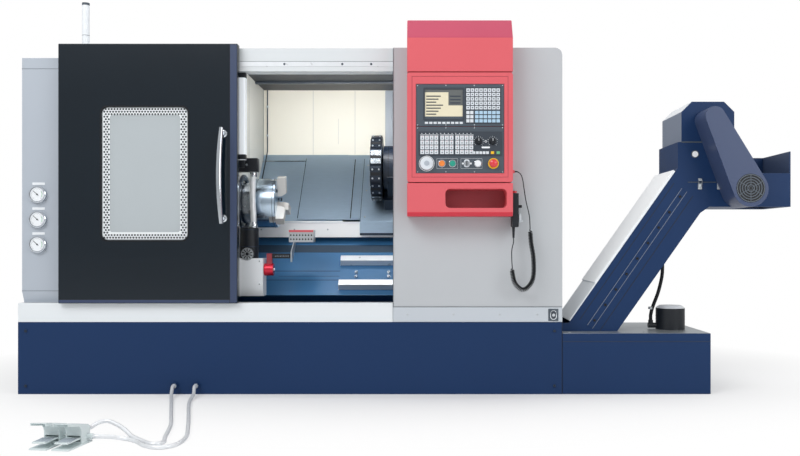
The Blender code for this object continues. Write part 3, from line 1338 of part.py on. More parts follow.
def build_conveyor():
    """Chip conveyor: trunk with its chute, sloping cover, head hood and chain guard."""
    wall = CONVEYOR_WALL
    rise = math.tan(math.radians(CONVEYOR_ANGLE))
    low = CONVEYOR_LEVEL - CONVEYOR_DROP
    front, back = CONVEYOR_Y, CONVEYOR_BACK
    neck_foot = CONVEYOR_LEVEL + (CONVEYOR_NECK_LEFT - CONVEYOR_FOOT) * rise
    outline = [
        (CONVEYOR_LEFT, low),
        (conveyor_underside(low), low),
        (conveyor_underside(CHUTE_BOTTOM - 0.030), CHUTE_BOTTOM - 0.030),
        (conveyor_underside(CHUTE_BOTTOM) + 0.022, CHUTE_BOTTOM),
        (CHUTE_RIGHT, CHUTE_BOTTOM),
        (CHUTE_RIGHT, CHUTE_TOP),
        (CONVEYOR_NECK_RIGHT, CHUTE_TOP),
        (CONVEYOR_NECK_RIGHT, CONVEYOR_NECK_TOP),
        (CONVEYOR_NECK_LEFT, CONVEYOR_NECK_TOP),
        (CONVEYOR_NECK_LEFT, neck_foot),
        (CONVEYOR_FOOT, CONVEYOR_LEVEL),
        (CONVEYOR_LEFT, CONVEYOR_LEVEL),
    ]
    side = wall / math.sin(math.radians(CONVEYOR_ANGLE))
    over = 0.030
    inside = [
        (CONVEYOR_LEFT + wall, CONVEYOR_LEVEL + over),
        (CONVEYOR_LEFT + wall, low + wall),
        (conveyor_underside(low + wall) - side, low + wall),
        (conveyor_underside(CHUTE_BOTTOM - 0.020) - side, CHUTE_BOTTOM - 0.020),
        (conveyor_underside(CHUTE_BOTTOM) + 0.020, CHUTE_BOTTOM + wall),
        (CONVEYOR_NECK_RIGHT - wall, CHUTE_BOTTOM + wall),
        (CONVEYOR_NECK_RIGHT - wall, CONVEYOR_NECK_TOP + over),
        (CONVEYOR_NECK_LEFT + wall, CONVEYOR_NECK_TOP + over),
        (CONVEYOR_NECK_LEFT + wall, neck_foot - over),
        (CONVEYOR_NECK_LEFT - over, neck_foot - 2 * over + 0.030),
        (conveyor_edge(CONVEYOR_LEVEL + over) - over, CONVEYOR_LEVEL + over),
    ]
    chute = block((CONVEYOR_NECK_RIGHT - 2 * wall, front + wall, CHUTE_BOTTOM + wall),
                  (CHUTE_RIGHT - wall, back - wall, CHUTE_TOP + over))
    drop = block((CHUTE_RIGHT - 0.190, front + 3 * wall, CHUTE_BOTTOM - over),
                 (CHUTE_RIGHT - 0.030, back - 3 * wall, CHUTE_BOTTOM + over))
    lip = block((CONVEYOR_NECK_RIGHT + 0.001, front - over, CHUTE_FRONT_TOP),
                (CHUTE_RIGHT - wall, front + 2 * wall, CHUTE_TOP + over))
    leg = block((CONVEYOR_LEFT + 0.060, front + 0.060, BASE_FLOOR + GAP),
                (CONVEYOR_LEFT + 0.140, back - 0.060, low + 0.002))
    boss = drum("Z", (HOSE_HEAD_X, FRONT + PUMP_SETBACK), 0.014, HOSE_HEAD_HEIGHT, HOSE_HEAD_HEIGHT + 0.048,
                sides=16)
    piece("conveyor_body", "navy", prism(outline, "Y", front, back), add=[leg, boss],
          cut=[prism(inside, "Y", front + wall, back - wall), chute, drop, lip])

    lean = math.radians(CONVEYOR_ANGLE)
    normal = Vector((-math.sin(lean), math.cos(lean)))
    along = Vector((math.cos(lean), math.sin(lean)))
    foot = Vector((CONVEYOR_FOOT, CONVEYOR_LEVEL)) + along * 0.010
    length = (CONVEYOR_NECK_LEFT - CONVEYOR_FOOT) / math.cos(lean) - 0.030
    split = length * CONVEYOR_COVER_SPLIT
    thick = CONVEYOR_COVER_THICKNESS
    steps = [(0, GAP), (length, GAP), (length, GAP + 2 * thick), (split, GAP + 2 * thick),
             (split, GAP + thick), (0, GAP + thick)]
    cover = [tuple(foot + along * s + normal * h) for s, h in steps]
    piece("conveyor_cover", "white", prism(cover, "Y", front, back))

    seat = CONVEYOR_NECK_TOP + GAP
    cut = HOOD_CHAMFER
    hood = [(HOOD_SIDE_LEFT, seat), (HOOD_SIDE_RIGHT, seat), (HOOD_SIDE_RIGHT, HOOD_SIDE_TOP - cut),
            (HOOD_SIDE_RIGHT - cut, HOOD_SIDE_TOP), (HOOD_SIDE_LEFT + cut, HOOD_SIDE_TOP),
            (HOOD_SIDE_LEFT, HOOD_SIDE_TOP - cut)]
    hollow = [(HOOD_SIDE_LEFT + SHEET, seat - 0.010), (HOOD_SIDE_RIGHT - SHEET, seat - 0.010),
              (HOOD_SIDE_RIGHT - SHEET, HOOD_SIDE_TOP - cut - 0.002),
              (HOOD_SIDE_RIGHT - cut - 0.002, HOOD_SIDE_TOP - SHEET),
              (HOOD_SIDE_LEFT + cut + 0.002, HOOD_SIDE_TOP - SHEET),
              (HOOD_SIDE_LEFT + SHEET, HOOD_SIDE_TOP - cut - 0.002)]
    piece("conveyor_hood", "navy", prism(hood, "Y", front, back),
          cut=[prism(hollow, "Y", front + SHEET, back - SHEET)])

    centres = (GUARD_BOTTOM, GUARD_TOP)
    outer = loop_outline(centres, (GUARD_BOTTOM_RADIUS, GUARD_TOP_RADIUS), steps=12)
    inner = loop_outline(centres, (GUARD_BOTTOM_RADIUS - SHEET, GUARD_TOP_RADIUS - SHEET), steps=12)
    guard_back = front - GAP
    piece("chain_guard", "navy", prism(outer, "Y", front - GUARD_DEPTH, guard_back),
          cut=[prism(inner, "Y", front - GUARD_DEPTH + SHEET, guard_back + 0.010)])


def build_coolant():
    """Coolant tank, its pump and the hose to the conveyor."""
    left = RIGHT + GAP
    right = RIGHT + TANK_LENGTH
    front, back = FRONT, FRONT + TANK_DEPTH
    wall = TANK_WALL
    pump_y = FRONT + PUMP_SETBACK
    low = CONVEYOR_LEVEL - CONVEYOR_DROP - GAP
    body = block((left, front, 0), (right, back, TANK_HEIGHT))
    inside = block((left + wall, front + wall, wall), (right - wall, back - wall, TANK_HEIGHT - wall))
    slot = block((left - 0.010, CONVEYOR_Y - GAP, low),
                 (conveyor_underside(TANK_HEIGHT) + 0.002, CONVEYOR_BACK + GAP, TANK_HEIGHT + 0.010))
    pump_hole = drum("Z", (PUMP_X, pump_y), 0.034, TANK_HEIGHT - 0.020, TANK_HEIGHT + 0.010, sides=24)
    piece("tank", "navy", body, cut=[inside, slot, pump_hole])

    seat = TANK_HEIGHT + GAP
    top = seat + PUMP_HEIGHT
    profile = [(seat - PUMP_DEPTH, 0), (seat - PUMP_DEPTH, 0.032), (seat, 0.032), (seat, PUMP_RADIUS),
               (top - 0.012, PUMP_RADIUS), (top, PUMP_RADIUS - 0.016), (top, 0)]
    pump = turned(profile, "Z", (PUMP_X, pump_y), sides=32)
    outlet_x = HOSE_FOOT_X
    outlet_radius = 0.013
    outlet = drum("X", (pump_y, seat + 0.018), outlet_radius, outlet_x - outlet_radius,
                  PUMP_X - PUMP_RADIUS + 0.010, sides=16)
    boss = drum("Z", (outlet_x, pump_y), 0.012, seat + 0.012, HOSE_FOOT_HEIGHT, sides=16)
    piece("pump", "black", pump, add=[outlet, boss])

    route = [(outlet_x, pump_y, HOSE_FOOT_HEIGHT + GAP), (outlet_x, pump_y, 0.362),
             (outlet_x + 0.0118, pump_y, 0.4053), (outlet_x + 0.0372, pump_y, 0.4721),
             (outlet_x + 0.0553, pump_y, 0.545), (HOSE_HEAD_X, pump_y, 0.590),
             (HOSE_HEAD_X, pump_y, HOSE_HEAD_HEIGHT - GAP)]
    tube("hose", "rubber", smooth_route(route, 0.022), HOSE_RADIUS, resolution=3)


def build_mast():
    """Signal mast on the roof."""
    y = FRONT + MAST_SETBACK
    foot = ROOF + GAP
    profile = [(foot, 0), (foot, 0.032), (foot + 0.010, 0.032), (foot + 0.016, MAST_RADIUS * 0.7),
               (foot + 0.050, MAST_RADIUS * 0.7), (foot + 0.056, MAST_RADIUS),
               (foot + MAST_HEIGHT - 0.008, MAST_RADIUS), (foot + MAST_HEIGHT, MAST_RADIUS - 0.008),
               (foot + MAST_HEIGHT, 0)]
    piece("signal_tower", "white", turned(profile, "Z", (MAST_X, y), sides=24))


def switch_turn():
    """Where the foot switch stands on the floor, and how it is turned."""
    place = Matrix.Translation((SWITCH_X, SWITCH_Y, 0))
    return place @ Matrix.Rotation(math.radians(SWITCH_TURN), 4, "Z")


def build_foot_switch():
    """Twin foot switch: two hooded bodies on joined plates, and two pedals."""
    half = SWITCH_WIDTH / 2
    front = -SWITCH_DEPTH / 2
    rear = SWITCH_DEPTH / 2
    body_rear = rear - SWITCH_BODY_SETBACK
    body_front = body_rear - SWITCH_BODY_DEPTH
    hood_front = front + 0.004
    cheek = 0.0035
    skin = 0.003
    slope = (SWITCH_HEIGHT - SWITCH_REAR_HEIGHT) / (body_rear - 0.012 - hood_front)

    def hood_top(y):
        return SWITCH_HEIGHT - slope * (y - hood_front)

    profile = [
        (hood_front, SWITCH_HEIGHT - 0.010),
        (hood_front, SWITCH_HEIGHT),
        (body_rear - 0.012, SWITCH_REAR_HEIGHT),
        (body_rear, SWITCH_REAR_HEIGHT - 0.010),
        (body_rear, SWITCH_PLATE - 0.002),
        (body_front, SWITCH_PLATE - 0.002),
        (body_front, 0.048),
        (body_front - 0.004, 0.060),
        (body_front - 0.014, hood_top(body_front - 0.014) - 0.010),
    ]
    under = [
        (hood_front - 0.010, hood_top(hood_front - 0.010) - skin),
        (body_front - 0.004, hood_top(body_front - 0.004) - skin),
        (body_front - 0.004, 0.040),
        (hood_front - 0.010, 0.040),
    ]
    plates, bodies, cuts = [], [], []
    body_half = half - SWITCH_PLATE / 2
    slot_half = half - PEDAL_INSET + GAP
    hinge = PEDAL_HEIGHT + PEDAL_THICKNESS / 2
    for side in (-1, 1):
        x = side * SWITCH_SPACING / 2
        plates.append(block((x - half, front, 0), (x + half, rear, SWITCH_PLATE)))
        bodies.append(prism(profile, "X", x - body_half, x + body_half))
        cuts.append(prism(under, "X", x - body_half + cheek, x + body_half - cheek))
        cuts.append(block((x - slot_half, body_front - 0.010, hinge - 0.012),
                          (x + slot_half, body_front + 0.024, hinge + 0.009)))
    bridge = block((-SWITCH_SPACING / 2, body_front + 0.030, 0.001),
                   (SWITCH_SPACING / 2, body_rear - 0.002, SWITCH_PLATE * 5))
    right_x = SWITCH_SPACING / 2
    side_end = right_x + body_half + OUTLET_LENGTH
    side_y = body_rear - 0.016
    side_z = 0.0245
    rear_x = right_x + 0.010
    rear_z = 0.044
    side_outlet = drum("X", (side_y, side_z), OUTLET_RADIUS * 0.75, right_x, side_end, sides=12)
    rear_outlet = drum("Y", (rear_x, rear_z), OUTLET_RADIUS * 0.75, body_rear - 0.020,
                       body_rear + OUTLET_LENGTH, sides=12)
    base = piece("pedal_base", "tread", plates[0],
                 add=[plates[1], *bodies, bridge, side_outlet, rear_outlet], cut=cuts)
    turn = switch_turn()
    base.data.transform(turn)

    for name, side in (("pedal_left", -1), ("pedal_right", 1)):
        x = side * SWITCH_SPACING / 2
        plate = block((x - half + PEDAL_INSET, front + 0.006, PEDAL_HEIGHT),
                      (x + half - PEDAL_INSET, body_front + 0.018, PEDAL_HEIGHT + PEDAL_THICKNESS))
        place = turn @ Vector((x, body_front + 0.014, hinge))
        piece(name, "tread", moved(plate, turn), origin=place, parent=pivot(name + "_axis", place))
    return (turn @ Vector((rear_x, body_rear + OUTLET_LENGTH, rear_z)),
            turn @ Vector((side_end, side_y, side_z)))


def build_switch_leads(ends):
    """The two armoured leads on the floor between the base and the foot switch."""
    floor = ARMOUR_RADIUS + 0.0005
    turn = switch_turn().to_3x3()
    leaving = (turn @ Vector((0, 1, 0)), turn @ Vector((1, 0, 0)))
    routes = (
        [(-0.508, -1.000, floor), (-0.4640, -1.150, floor), (-0.4050, -1.350, floor),
         (-0.3565, -1.518, floor), (-0.3180, -1.715, floor), (-0.3000, -1.800, floor),
         (-0.3316, -1.828, floor), (-0.4025, -1.765, 0.0121), (-0.4340, -1.740, 0.0175),
         (-0.4690, -1.712, 0.0347), (-0.5058, -1.688, 0.0475), (-0.5450, -1.672, 0.0570),
         (-0.5750, -1.684, 0.0540)],
        [(-0.423, -1.000, floor), (-0.3880, -1.150, floor), (-0.3330, -1.350, floor),
         (-0.2880, -1.518, floor), (-0.2400, -1.720, floor), (-0.2440, -1.835, floor),
         (-0.2900, -1.878, floor), (-0.3490, -1.850, floor), (-0.3914, -1.798, floor),
         (-0.4270, -1.764, floor), (-0.4600, -1.752, 0.0110), (-0.5000, -1.760, 0.0185)],
    )
    names = ("conduit_left", "conduit_right")
    for name, x, middle, end, away in zip(names, LEAD_OUTLETS, routes, ends, leaving):
        start = Vector((x, FRONT - OUTLET_LENGTH - GAP, LEAD_OUTLET_HEIGHT))
        stop = end + away * GAP
        route = [start, start + Vector((0, -0.030, 0)), start + Vector((0.012, -0.090, -0.026)),
                 *[Vector(p) for p in middle], stop + away * 0.022, stop]
        tube(name, "zinc", smooth_route(route, 0.022), ARMOUR_RADIUS)


def main():
    """Build the whole lathe."""
    clear_scene()
    build_base()
    build_bed()
    build_spindle_unit()
    build_drive()
    build_enclosure()
    build_saddle()
    build_tailstock()
    build_catcher()
    build_door()
    build_console()
    build_pendant()
    build_conveyor()
    build_coolant()
    build_mast()
    ends = build_foot_switch()
    build_switch_leads(ends)


main()
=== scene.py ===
"""CNC turning lathe: surfaces, small parts, leads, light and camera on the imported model."""

import json
import logging
import math
from dataclasses import dataclass
from enum import Enum
from itertools import product
from typing import Any, Iterable, Sequence

import bmesh
import bpy
from mathutils import Matrix, Vector

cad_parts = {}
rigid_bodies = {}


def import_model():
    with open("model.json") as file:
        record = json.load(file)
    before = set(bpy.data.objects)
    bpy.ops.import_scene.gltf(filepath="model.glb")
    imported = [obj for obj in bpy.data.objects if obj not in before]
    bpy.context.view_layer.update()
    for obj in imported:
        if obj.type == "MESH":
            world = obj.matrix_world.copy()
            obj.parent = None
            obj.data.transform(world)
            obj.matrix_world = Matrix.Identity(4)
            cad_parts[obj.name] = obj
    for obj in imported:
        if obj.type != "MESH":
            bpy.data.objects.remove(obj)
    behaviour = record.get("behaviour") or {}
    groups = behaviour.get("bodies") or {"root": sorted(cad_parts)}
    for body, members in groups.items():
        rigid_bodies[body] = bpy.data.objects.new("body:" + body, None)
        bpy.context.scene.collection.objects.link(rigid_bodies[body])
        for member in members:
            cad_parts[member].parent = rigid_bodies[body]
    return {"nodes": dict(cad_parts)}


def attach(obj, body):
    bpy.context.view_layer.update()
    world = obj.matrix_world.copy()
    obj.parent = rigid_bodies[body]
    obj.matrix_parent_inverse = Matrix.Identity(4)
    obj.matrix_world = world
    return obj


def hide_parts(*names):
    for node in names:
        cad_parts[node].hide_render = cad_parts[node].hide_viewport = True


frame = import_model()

log = logging.getLogger("lathe")
Point = tuple[float, float, float]
Flat = tuple[float, float]
Shape = bmesh.types.BMesh
Piece = bpy.types.Object
Tree = bpy.types.NodeTree
Node = bpy.types.Node

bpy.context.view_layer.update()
FRONT = -0.8
SLANT = math.radians(45.0)
SPINDLE = (-0.44, 0.929)
PENDANT_PLANE = -0.856
SHARP_EDGE = 32.0
RIB_EDGE = 60.0
CREASE = 30.0
WELD = 0.00002
FLATNESS = 0.6
CURVE_STEPS = 24
SLANT_FACE = (0, -0.707, 0.707)
SQUARE = 0.9
COAT_ROUGHNESS = 0.06


class Surface(Enum):
    """How a finish is broken up: its broad and fine scale, its spread of gloss and its relief's depth."""

    PAINT = (3.0, 700.0, 0.12, 0.0003)
    BRUSHED = (24.0, 60.0, 0.25, 0.0003)
    CAST = (3.0, 260.0, 0.25, 0.0008)
    PLASTIC = (3.0, 1600.0, 0.12, 0.0003)
    RUBBER = (3.0, 900.0, 0.12, 0.0003)
    LAMP = (3.0, 50.0, 0.12, 0.0003)


class Axis(Enum):
    """An axis of the model."""

    X = 0
    Y = 1
    Z = 2


X, Y, Z = Axis


def add(tree: Tree, kind: str, given: dict[str | int, Any] | None = None, **settings: Any) -> Node:
    """A new node in a tree.

    Args:
        tree: the tree.
        kind: the node's type.
        given: values for its inputs, by their names or numbers.
        settings: its own settings.

    Returns:
        The node.
    """
    node = tree.nodes.new(kind)
    for name, value in settings.items():
        setattr(node, name, value)
    fill(node, given or {})
    return node


def fill(node: Node, given: dict[str | int, Any]) -> None:
    """Set a node's inputs by their names or numbers."""
    for name, value in given.items():
        node.inputs[name].default_value = value


def wire(tree: Tree, *ties: tuple[Node, str | int, Node, str | int]) -> None:
    """Link a tree's nodes: each tie is a node, its output, another node and its input."""
    for source, output, target, into in ties:
        tree.links.new(source.outputs[output], target.inputs[into])


def linear(level: float) -> float:
    """One colour channel from 0 to 255 as a linear value."""
    value = level / 255.0
    return value / 12.92 if value <= 0.04045 else ((value + 0.055) / 1.055) ** 2.4


@dataclass(frozen=True)
class Finish:
    """A paint, metal, plastic or rubber with its own tone, grain and gloss."""

    name: str
    colour: Point
    roughness: float
    metallic: float = 0.0
    surface: Surface = Surface.PAINT
    tone: float = 0.05
    bump: float = 0.06
    coat: float = 0.0
    stretch: Point = (1.0, 1.0, 1.0)
    alpha: float = 1.0
    glow: float = 0.0
    gleam: float = 0.5

    def material(self) -> bpy.types.Material:
        """Make the finish's material the first time that it is asked for.

        Returns:
            The material.
        """
        found = bpy.data.materials.get(self.name)
        if found is not None:
            return found
        material = bpy.data.materials.new(self.name)
        material.use_nodes = True
        tree = material.node_tree
        broad_scale, fine_scale, spread_of_gloss, depth = self.surface.value
        colour = [linear(c) for c in self.colour]
        dark, light = [(*[min(1.0, c * share) for c in colour], 1.0)
                       for share in (1 - self.tone, 1 + self.tone)]
        shader = tree.nodes["Principled BSDF"]
        fill(shader, {"Metallic": self.metallic, "Coat Weight": self.coat, "Coat Roughness": COAT_ROUGHNESS,
                      "Specular IOR Level": self.gleam, "Alpha": self.alpha})
        if self.glow:
            fill(shader, {"Emission Color": (*colour, 1.0), "Emission Strength": self.glow})
        where = add(tree, "ShaderNodeTexCoord")
        grain = add(tree, "ShaderNodeMapping", {"Scale": self.stretch})
        broad = add(tree, "ShaderNodeTexNoise", {"Scale": broad_scale, "Detail": 4.0})
        fine = add(tree, "ShaderNodeTexNoise", {"Scale": fine_scale, "Detail": 2.0})
        shade = add(tree, "ShaderNodeMix", {"A": dark, "B": light}, data_type="RGBA")
        gloss = add(tree, "ShaderNodeMapRange", {
            "To Min": self.roughness * (1 - spread_of_gloss),
            "To Max": min(1.0, self.roughness * (1 + spread_of_gloss)),
        })
        relief = add(tree, "ShaderNodeBump", {"Strength": self.bump, "Distance": depth})
        wire(tree, (where, "Object", grain, "Vector"), (grain, "Vector", broad, "Vector"),
             (grain, "Vector", fine, "Vector"), (broad, "Fac", shade, "Factor"),
             (shade, "Result", shader, "Base Color"), (broad, "Fac", gloss, "Value"),
             (gloss, "Result", shader, "Roughness"), (fine, "Fac", relief, "Height"),
             (relief, "Normal", shader, "Normal"))
        material.diffuse_color = (*colour, 1.0)
        return material


NAVY = Finish("navy enamel", (22, 50, 90), 0.5, tone=0.06, coat=0.02, gleam=0.2)
NAVY_DARK = Finish("dark navy enamel", (22, 42, 70), 0.42, tone=0.08, coat=0.1)
# White enamel; also painted light on the conveyor hood's slant that looks up and to the left.
WHITE = Finish("white enamel", (232, 236, 240), 0.36, tone=0.02, coat=0.2)
# Bright white: the apron front's and the neck hole's own white, and painted light on the conveyor cover's
# faces that look up and to the left.
BRIGHT_WHITE_AND_PAINTED_LIGHT = Finish("bright white enamel", (252, 253, 254), 0.4, tone=0.01, coat=0.1)
GREY = Finish("grey enamel", (172, 180, 190), 0.45, tone=0.03)
CREAM = Finish("cream enamel", (238, 234, 220), 0.45, tone=0.02)
# Stone grey: the back wall's seams, and painted shade on the liner's left wall.
STONE_SEAMS_AND_WALL_SHADE = Finish("stone grey enamel", (196, 196, 190), 0.45, tone=0.03)
CEILING_PAINTED_SHADE = Finish("dark ceiling enamel", (34, 40, 48), 0.5, tone=0.08)
CABINET = Finish("cabinet enamel", (172, 180, 190), 0.45, tone=0.02, coat=0.1)
COVER = Finish("cover enamel", (183, 187, 191), 0.45, tone=0.03, coat=0.1)
FASCIA = Finish("fascia enamel", (212, 217, 220), 0.42, tone=0.02, coat=0.1)
SILL = Finish("sill enamel", (190, 197, 204), 0.42, tone=0.02, coat=0.1)
LEDGE = Finish("ledge enamel", (224, 229, 232), 0.4, tone=0.02, coat=0.15)
EDGE = Finish("door edge enamel", (48, 62, 92), 0.34, tone=0.06, coat=0.15)
GLOSS = Finish("gloss black panel", (8, 22, 32), 0.18, tone=0.1, bump=0.01, coat=0.14, gleam=0.4)
GUARD = Finish("slate guard enamel", (58, 72, 104), 0.42, tone=0.05, coat=0.1, gleam=0.35)
# Lighter navy standing for light in the discharge box, whose inner faces fall in shade: painted light.
NAVY_BOX_PAINTED_LIGHT = Finish("discharge box enamel", (66, 80, 108), 0.46, tone=0.06, coat=0.02, gleam=0.3)
# Lighter slate blue standing for light on navy: painted light on the conveyor hood's left face and painted
# highlights along the incline strip's edges.
NAVY_PAINTED_LIGHT = Finish("slate blue enamel", (112, 122, 140), 0.45, tone=0.04, coat=0.1)
RED = Finish("red enamel", (214, 94, 102), 0.45, tone=0.05, coat=0.05, gleam=0.35)
RED_SHADE = Finish("red enamel hood top", (186, 66, 94), 0.42, tone=0.1, coat=0.05)
RED_PAINTED_UNDERSIDE_SHADE = Finish("red enamel underside", (206, 44, 62), 0.42, tone=0.06, coat=0.05)
# Deep red: the catcher arm link's own dark red, and painted shade along the console's step and in its tray's
# recess.
DEEP_RED_AND_PAINTED_SHADE = Finish("deep red enamel", (150, 52, 62), 0.45, tone=0.08)

SIGNAL_RED = Finish("signal red plastic", (214, 52, 58), 0.28, surface=Surface.PLASTIC, coat=0.4)
YELLOW = Finish("yellow plastic", (240, 190, 40), 0.35, surface=Surface.PLASTIC)
ORANGE = Finish("orange plastic", (232, 132, 58), 0.3, surface=Surface.PLASTIC, coat=0.3)
TEAL = Finish("teal plastic", (34, 150, 130), 0.3, surface=Surface.PLASTIC, coat=0.3)
GREEN = Finish("green plastic", (110, 180, 130), 0.35, surface=Surface.PLASTIC)
SLATE = Finish("slate panel", (72, 82, 92), 0.4, surface=Surface.PLASTIC, bump=0.1)
SLATE_DARK = Finish("dark slate panel", (52, 60, 70), 0.45, surface=Surface.PLASTIC, bump=0.1)
KEY = Finish("pale key plastic", (214, 220, 226), 0.42, surface=Surface.PLASTIC)
KEY_BLUE = Finish("blue key plastic", (170, 200, 222), 0.42, surface=Surface.PLASTIC)
SCREEN_DARK = Finish("screen grey", (96, 100, 100), 0.25, surface=Surface.PLASTIC, bump=0.0, coat=0.5)
SCREEN_PALE = Finish("screen ivory", (226, 218, 190), 0.25, surface=Surface.PLASTIC, bump=0.0, coat=0.5)
BLACK = Finish("black plastic", (26, 30, 36), 0.42, surface=Surface.PLASTIC, tone=0.12, bump=0.12, gleam=0.35)
RUBBER = Finish("black rubber", (22, 24, 28), 0.6, surface=Surface.RUBBER, tone=0.15, bump=0.1, gleam=0.25)
HOLE = Finish("dark recess", (24, 26, 30), 0.7, surface=Surface.RUBBER)
GLASS = Finish("door glass", (196, 204, 208), 0.05, surface=Surface.LAMP, tone=0.03, bump=0.0, coat=0.6,
               alpha=0.72)
DIFFUSER = Finish("lamp diffuser", (226, 231, 236), 0.4, surface=Surface.LAMP, tone=0.02, bump=0.0, glow=0.35)
FRIT = Finish("window border print", (226, 230, 232), 0.3, surface=Surface.LAMP, tone=0.03, bump=0.0)
FRIT_DOT = Finish("window dot print", (46, 50, 56), 0.3, surface=Surface.LAMP, tone=0.05, bump=0.0)

STEEL = Finish("ground steel", (188, 196, 204), 0.26, 1.0, Surface.BRUSHED, 0.1, 0.05)
SHEET_STEEL = Finish("cover sheet steel", (172, 194, 214), 0.38, 0.8, Surface.BRUSHED, 0.08, 0.02,
                     stretch=(1.0, 5.0, 5.0))
DARK_STEEL = Finish("blackened steel", (52, 62, 76), 0.36, 0.7, Surface.BRUSHED, 0.2, 0.08)
CHUCK = Finish("turned chuck steel", (188, 206, 222), 0.25, 1.0, Surface.BRUSHED, 0.06, 0.02,
               stretch=(6.0, 1.0, 1.0))
JAW = Finish("ground jaw steel", (206, 205, 202), 0.42, 0.45, Surface.BRUSHED, 0.06, 0.02)
CHROME = Finish("polished chrome", (214, 220, 226), 0.1, 1.0, Surface.BRUSHED, 0.05, 0.02)
RAIL = Finish("bright rail", (228, 232, 236), 0.3, 0.3, Surface.BRUSHED, 0.04, 0.03)
ZINC = Finish("zinc plate", (190, 196, 200), 0.36, 0.8, Surface.CAST, 0.12, 0.05)
ARMOUR = Finish("zinc armour", (232, 235, 238), 0.34, 0.3, Surface.BRUSHED, 0.1, 0.05)
HUB_RED = Finish("red anodised hub", (206, 40, 62), 0.24, 0.5, Surface.BRUSHED, 0.08, 0.03)
TURRET_DARK = Finish("turret black oxide", (44, 52, 64), 0.34, 0.6, Surface.CAST, 0.15, 0.06)
TURRET_BODY = Finish("turret navy enamel", (30, 42, 60), 0.42, tone=0.1, bump=0.06, coat=0.1)
BED_BLUE = Finish("blue bed enamel", (60, 116, 164), 0.38, surface=Surface.CAST, tone=0.1, bump=0.12,
                  coat=0.2)
BED_DARK = Finish("dark blue casting", (38, 62, 84), 0.45, surface=Surface.CAST, tone=0.12, bump=0.15)
TREAD = Finish("pale green enamel", (212, 223, 224), 0.4, surface=Surface.CAST, bump=0.05, coat=0.2)


def at(axis: Axis, along: float, first: float, second: float) -> Vector:
    """A point from its place along an axis.

    Args:
        axis: the axis.
        along: the place on it.
        first: the first of the two other coordinates, in X, Y, Z order.
        second: the second of them.

    Returns:
        The point.
    """
    point = [first, second]
    point.insert(axis.value, along)
    return Vector(point)


def slant(up: float, out: float) -> Flat:
    """A point in the plane square to the spindle's axis.

    Args:
        up: how far it lies from that axis, up along the bed's slant.
        out: how far it lies from that axis, square to the slant.

    Returns:
        Its Y and Z.
    """
    y = SPINDLE[0] + up * math.cos(SLANT) - out * math.sin(SLANT)
    z = SPINDLE[1] + up * math.sin(SLANT) + out * math.cos(SLANT)
    return y, z


def on_slant(up: float, out: float, x: float) -> Vector:
    """A point of the model from its place on the bed's slant."""
    return Vector((x, *slant(up, out)))


def crossed(xs: Sequence[float], ys: Sequence[float], zs: Sequence[float]) -> list[Point]:
    """Every point that the coordinates make with one another."""
    return list(product(xs, ys, zs))


def grid(x0: float, x1: float, columns: int, z0: float, z1: float, rows: int, y: float) -> list[Point]:
    """Points in columns and rows on a face that looks to the front.

    Args:
        x0: the field's left edge.
        x1: its right edge.
        columns: how many columns it has.
        z0: its lower edge.
        z1: its upper edge.
        rows: how many rows it has.
        y: the face's place.

    Returns:
        The middles of the field's cells.
    """
    return crossed([x0 + (x1 - x0) * (i + 0.5) / columns for i in range(columns)], (y,),
                   [z0 + (z1 - z0) * (j + 0.5) / rows for j in range(rows)])


def arc(centre: Flat, radius: float, start: float, stop: float, steps: int) -> list[Flat]:
    """Points along an arc.

    Args:
        centre: its centre.
        radius: its radius.
        start: the angle where it starts, in degrees.
        stop: the angle where it ends.
        steps: how many steps it has.

    Returns:
        The points, both ends included.
    """
    turns = [math.radians(start + (stop - start) * i / steps) for i in range(steps + 1)]
    return [(centre[0] + radius * math.cos(t), centre[1] + radius * math.sin(t)) for t in turns]


def rounded(a0: float, b0: float, a1: float, b1: float, radius: float, steps: int = 6) -> list[Flat]:
    """A rectangle with round corners.

    Args:
        a0: its least first coordinate.
        b0: its least second coordinate.
        a1: its greatest first coordinate.
        b1: its greatest second coordinate.
        radius: the corners' radius.
        steps: the steps of each corner.

    Returns:
        The outline's points.
    """
    corners = (((a1 - radius, b0 + radius), -90), ((a1 - radius, b1 - radius), 0),
               ((a0 + radius, b1 - radius), 90), ((a0 + radius, b0 + radius), 180))
    return [p for centre, turn in corners for p in arc(centre, radius, turn, turn + 90, steps)]


def strip_round(shape: Shape, loops: Sequence[Sequence[bmesh.types.BMVert]]) -> None:
    """Add the faces between loops of points, each closed on itself.

    Args:
        shape: the shape.
        loops: its loops in order; one of a single point makes a tip.
    """
    for one, two in zip(loops, loops[1:]):
        count = max(len(one), len(two))
        for i in range(count):
            j = (i + 1) % count
            face = [one[i % len(one)], one[j % len(one)], two[j % len(two)], two[i % len(two)]]
            shape.faces.new(list(dict.fromkeys(face)))


def prism(outline: Sequence[Flat], axis: Axis, start: float, stop: float) -> Shape:
    """An outline pushed along an axis.

    Args:
        outline: its points, in the two other coordinates' order.
        axis: the axis that it is pushed along.
        start: where it starts on that axis.
        stop: where it ends.

    Returns:
        A closed shape with its faces pointing out.
    """
    shape = bmesh.new()
    near, far = [[shape.verts.new(at(axis, along, a, b)) for a, b in outline] for along in (start, stop)]
    shape.faces.new(near)
    shape.faces.new(list(reversed(far)))
    for i, one in enumerate(near):
        j = (i + 1) % len(near)
        shape.faces.new((one, far[i], far[j], near[j]))
    bmesh.ops.recalc_face_normals(shape, faces=shape.faces)
    return shape


def block(low: Point, high: Point) -> Shape:
    """A box between two corners."""
    outline = [(low[0], low[1]), (high[0], low[1]), (high[0], high[1]), (low[0], high[1])]
    return prism(outline, Z, low[2], high[2])


def slant_bar(x0: float, x1: float, up0: float, up1: float, out0: float, out1: float) -> Shape:
    """A bar square to the bed's slant."""
    outline = [slant(up0, out0), slant(up1, out0), slant(up1, out1), slant(up0, out1)]
    return prism(outline, X, x0, x1)


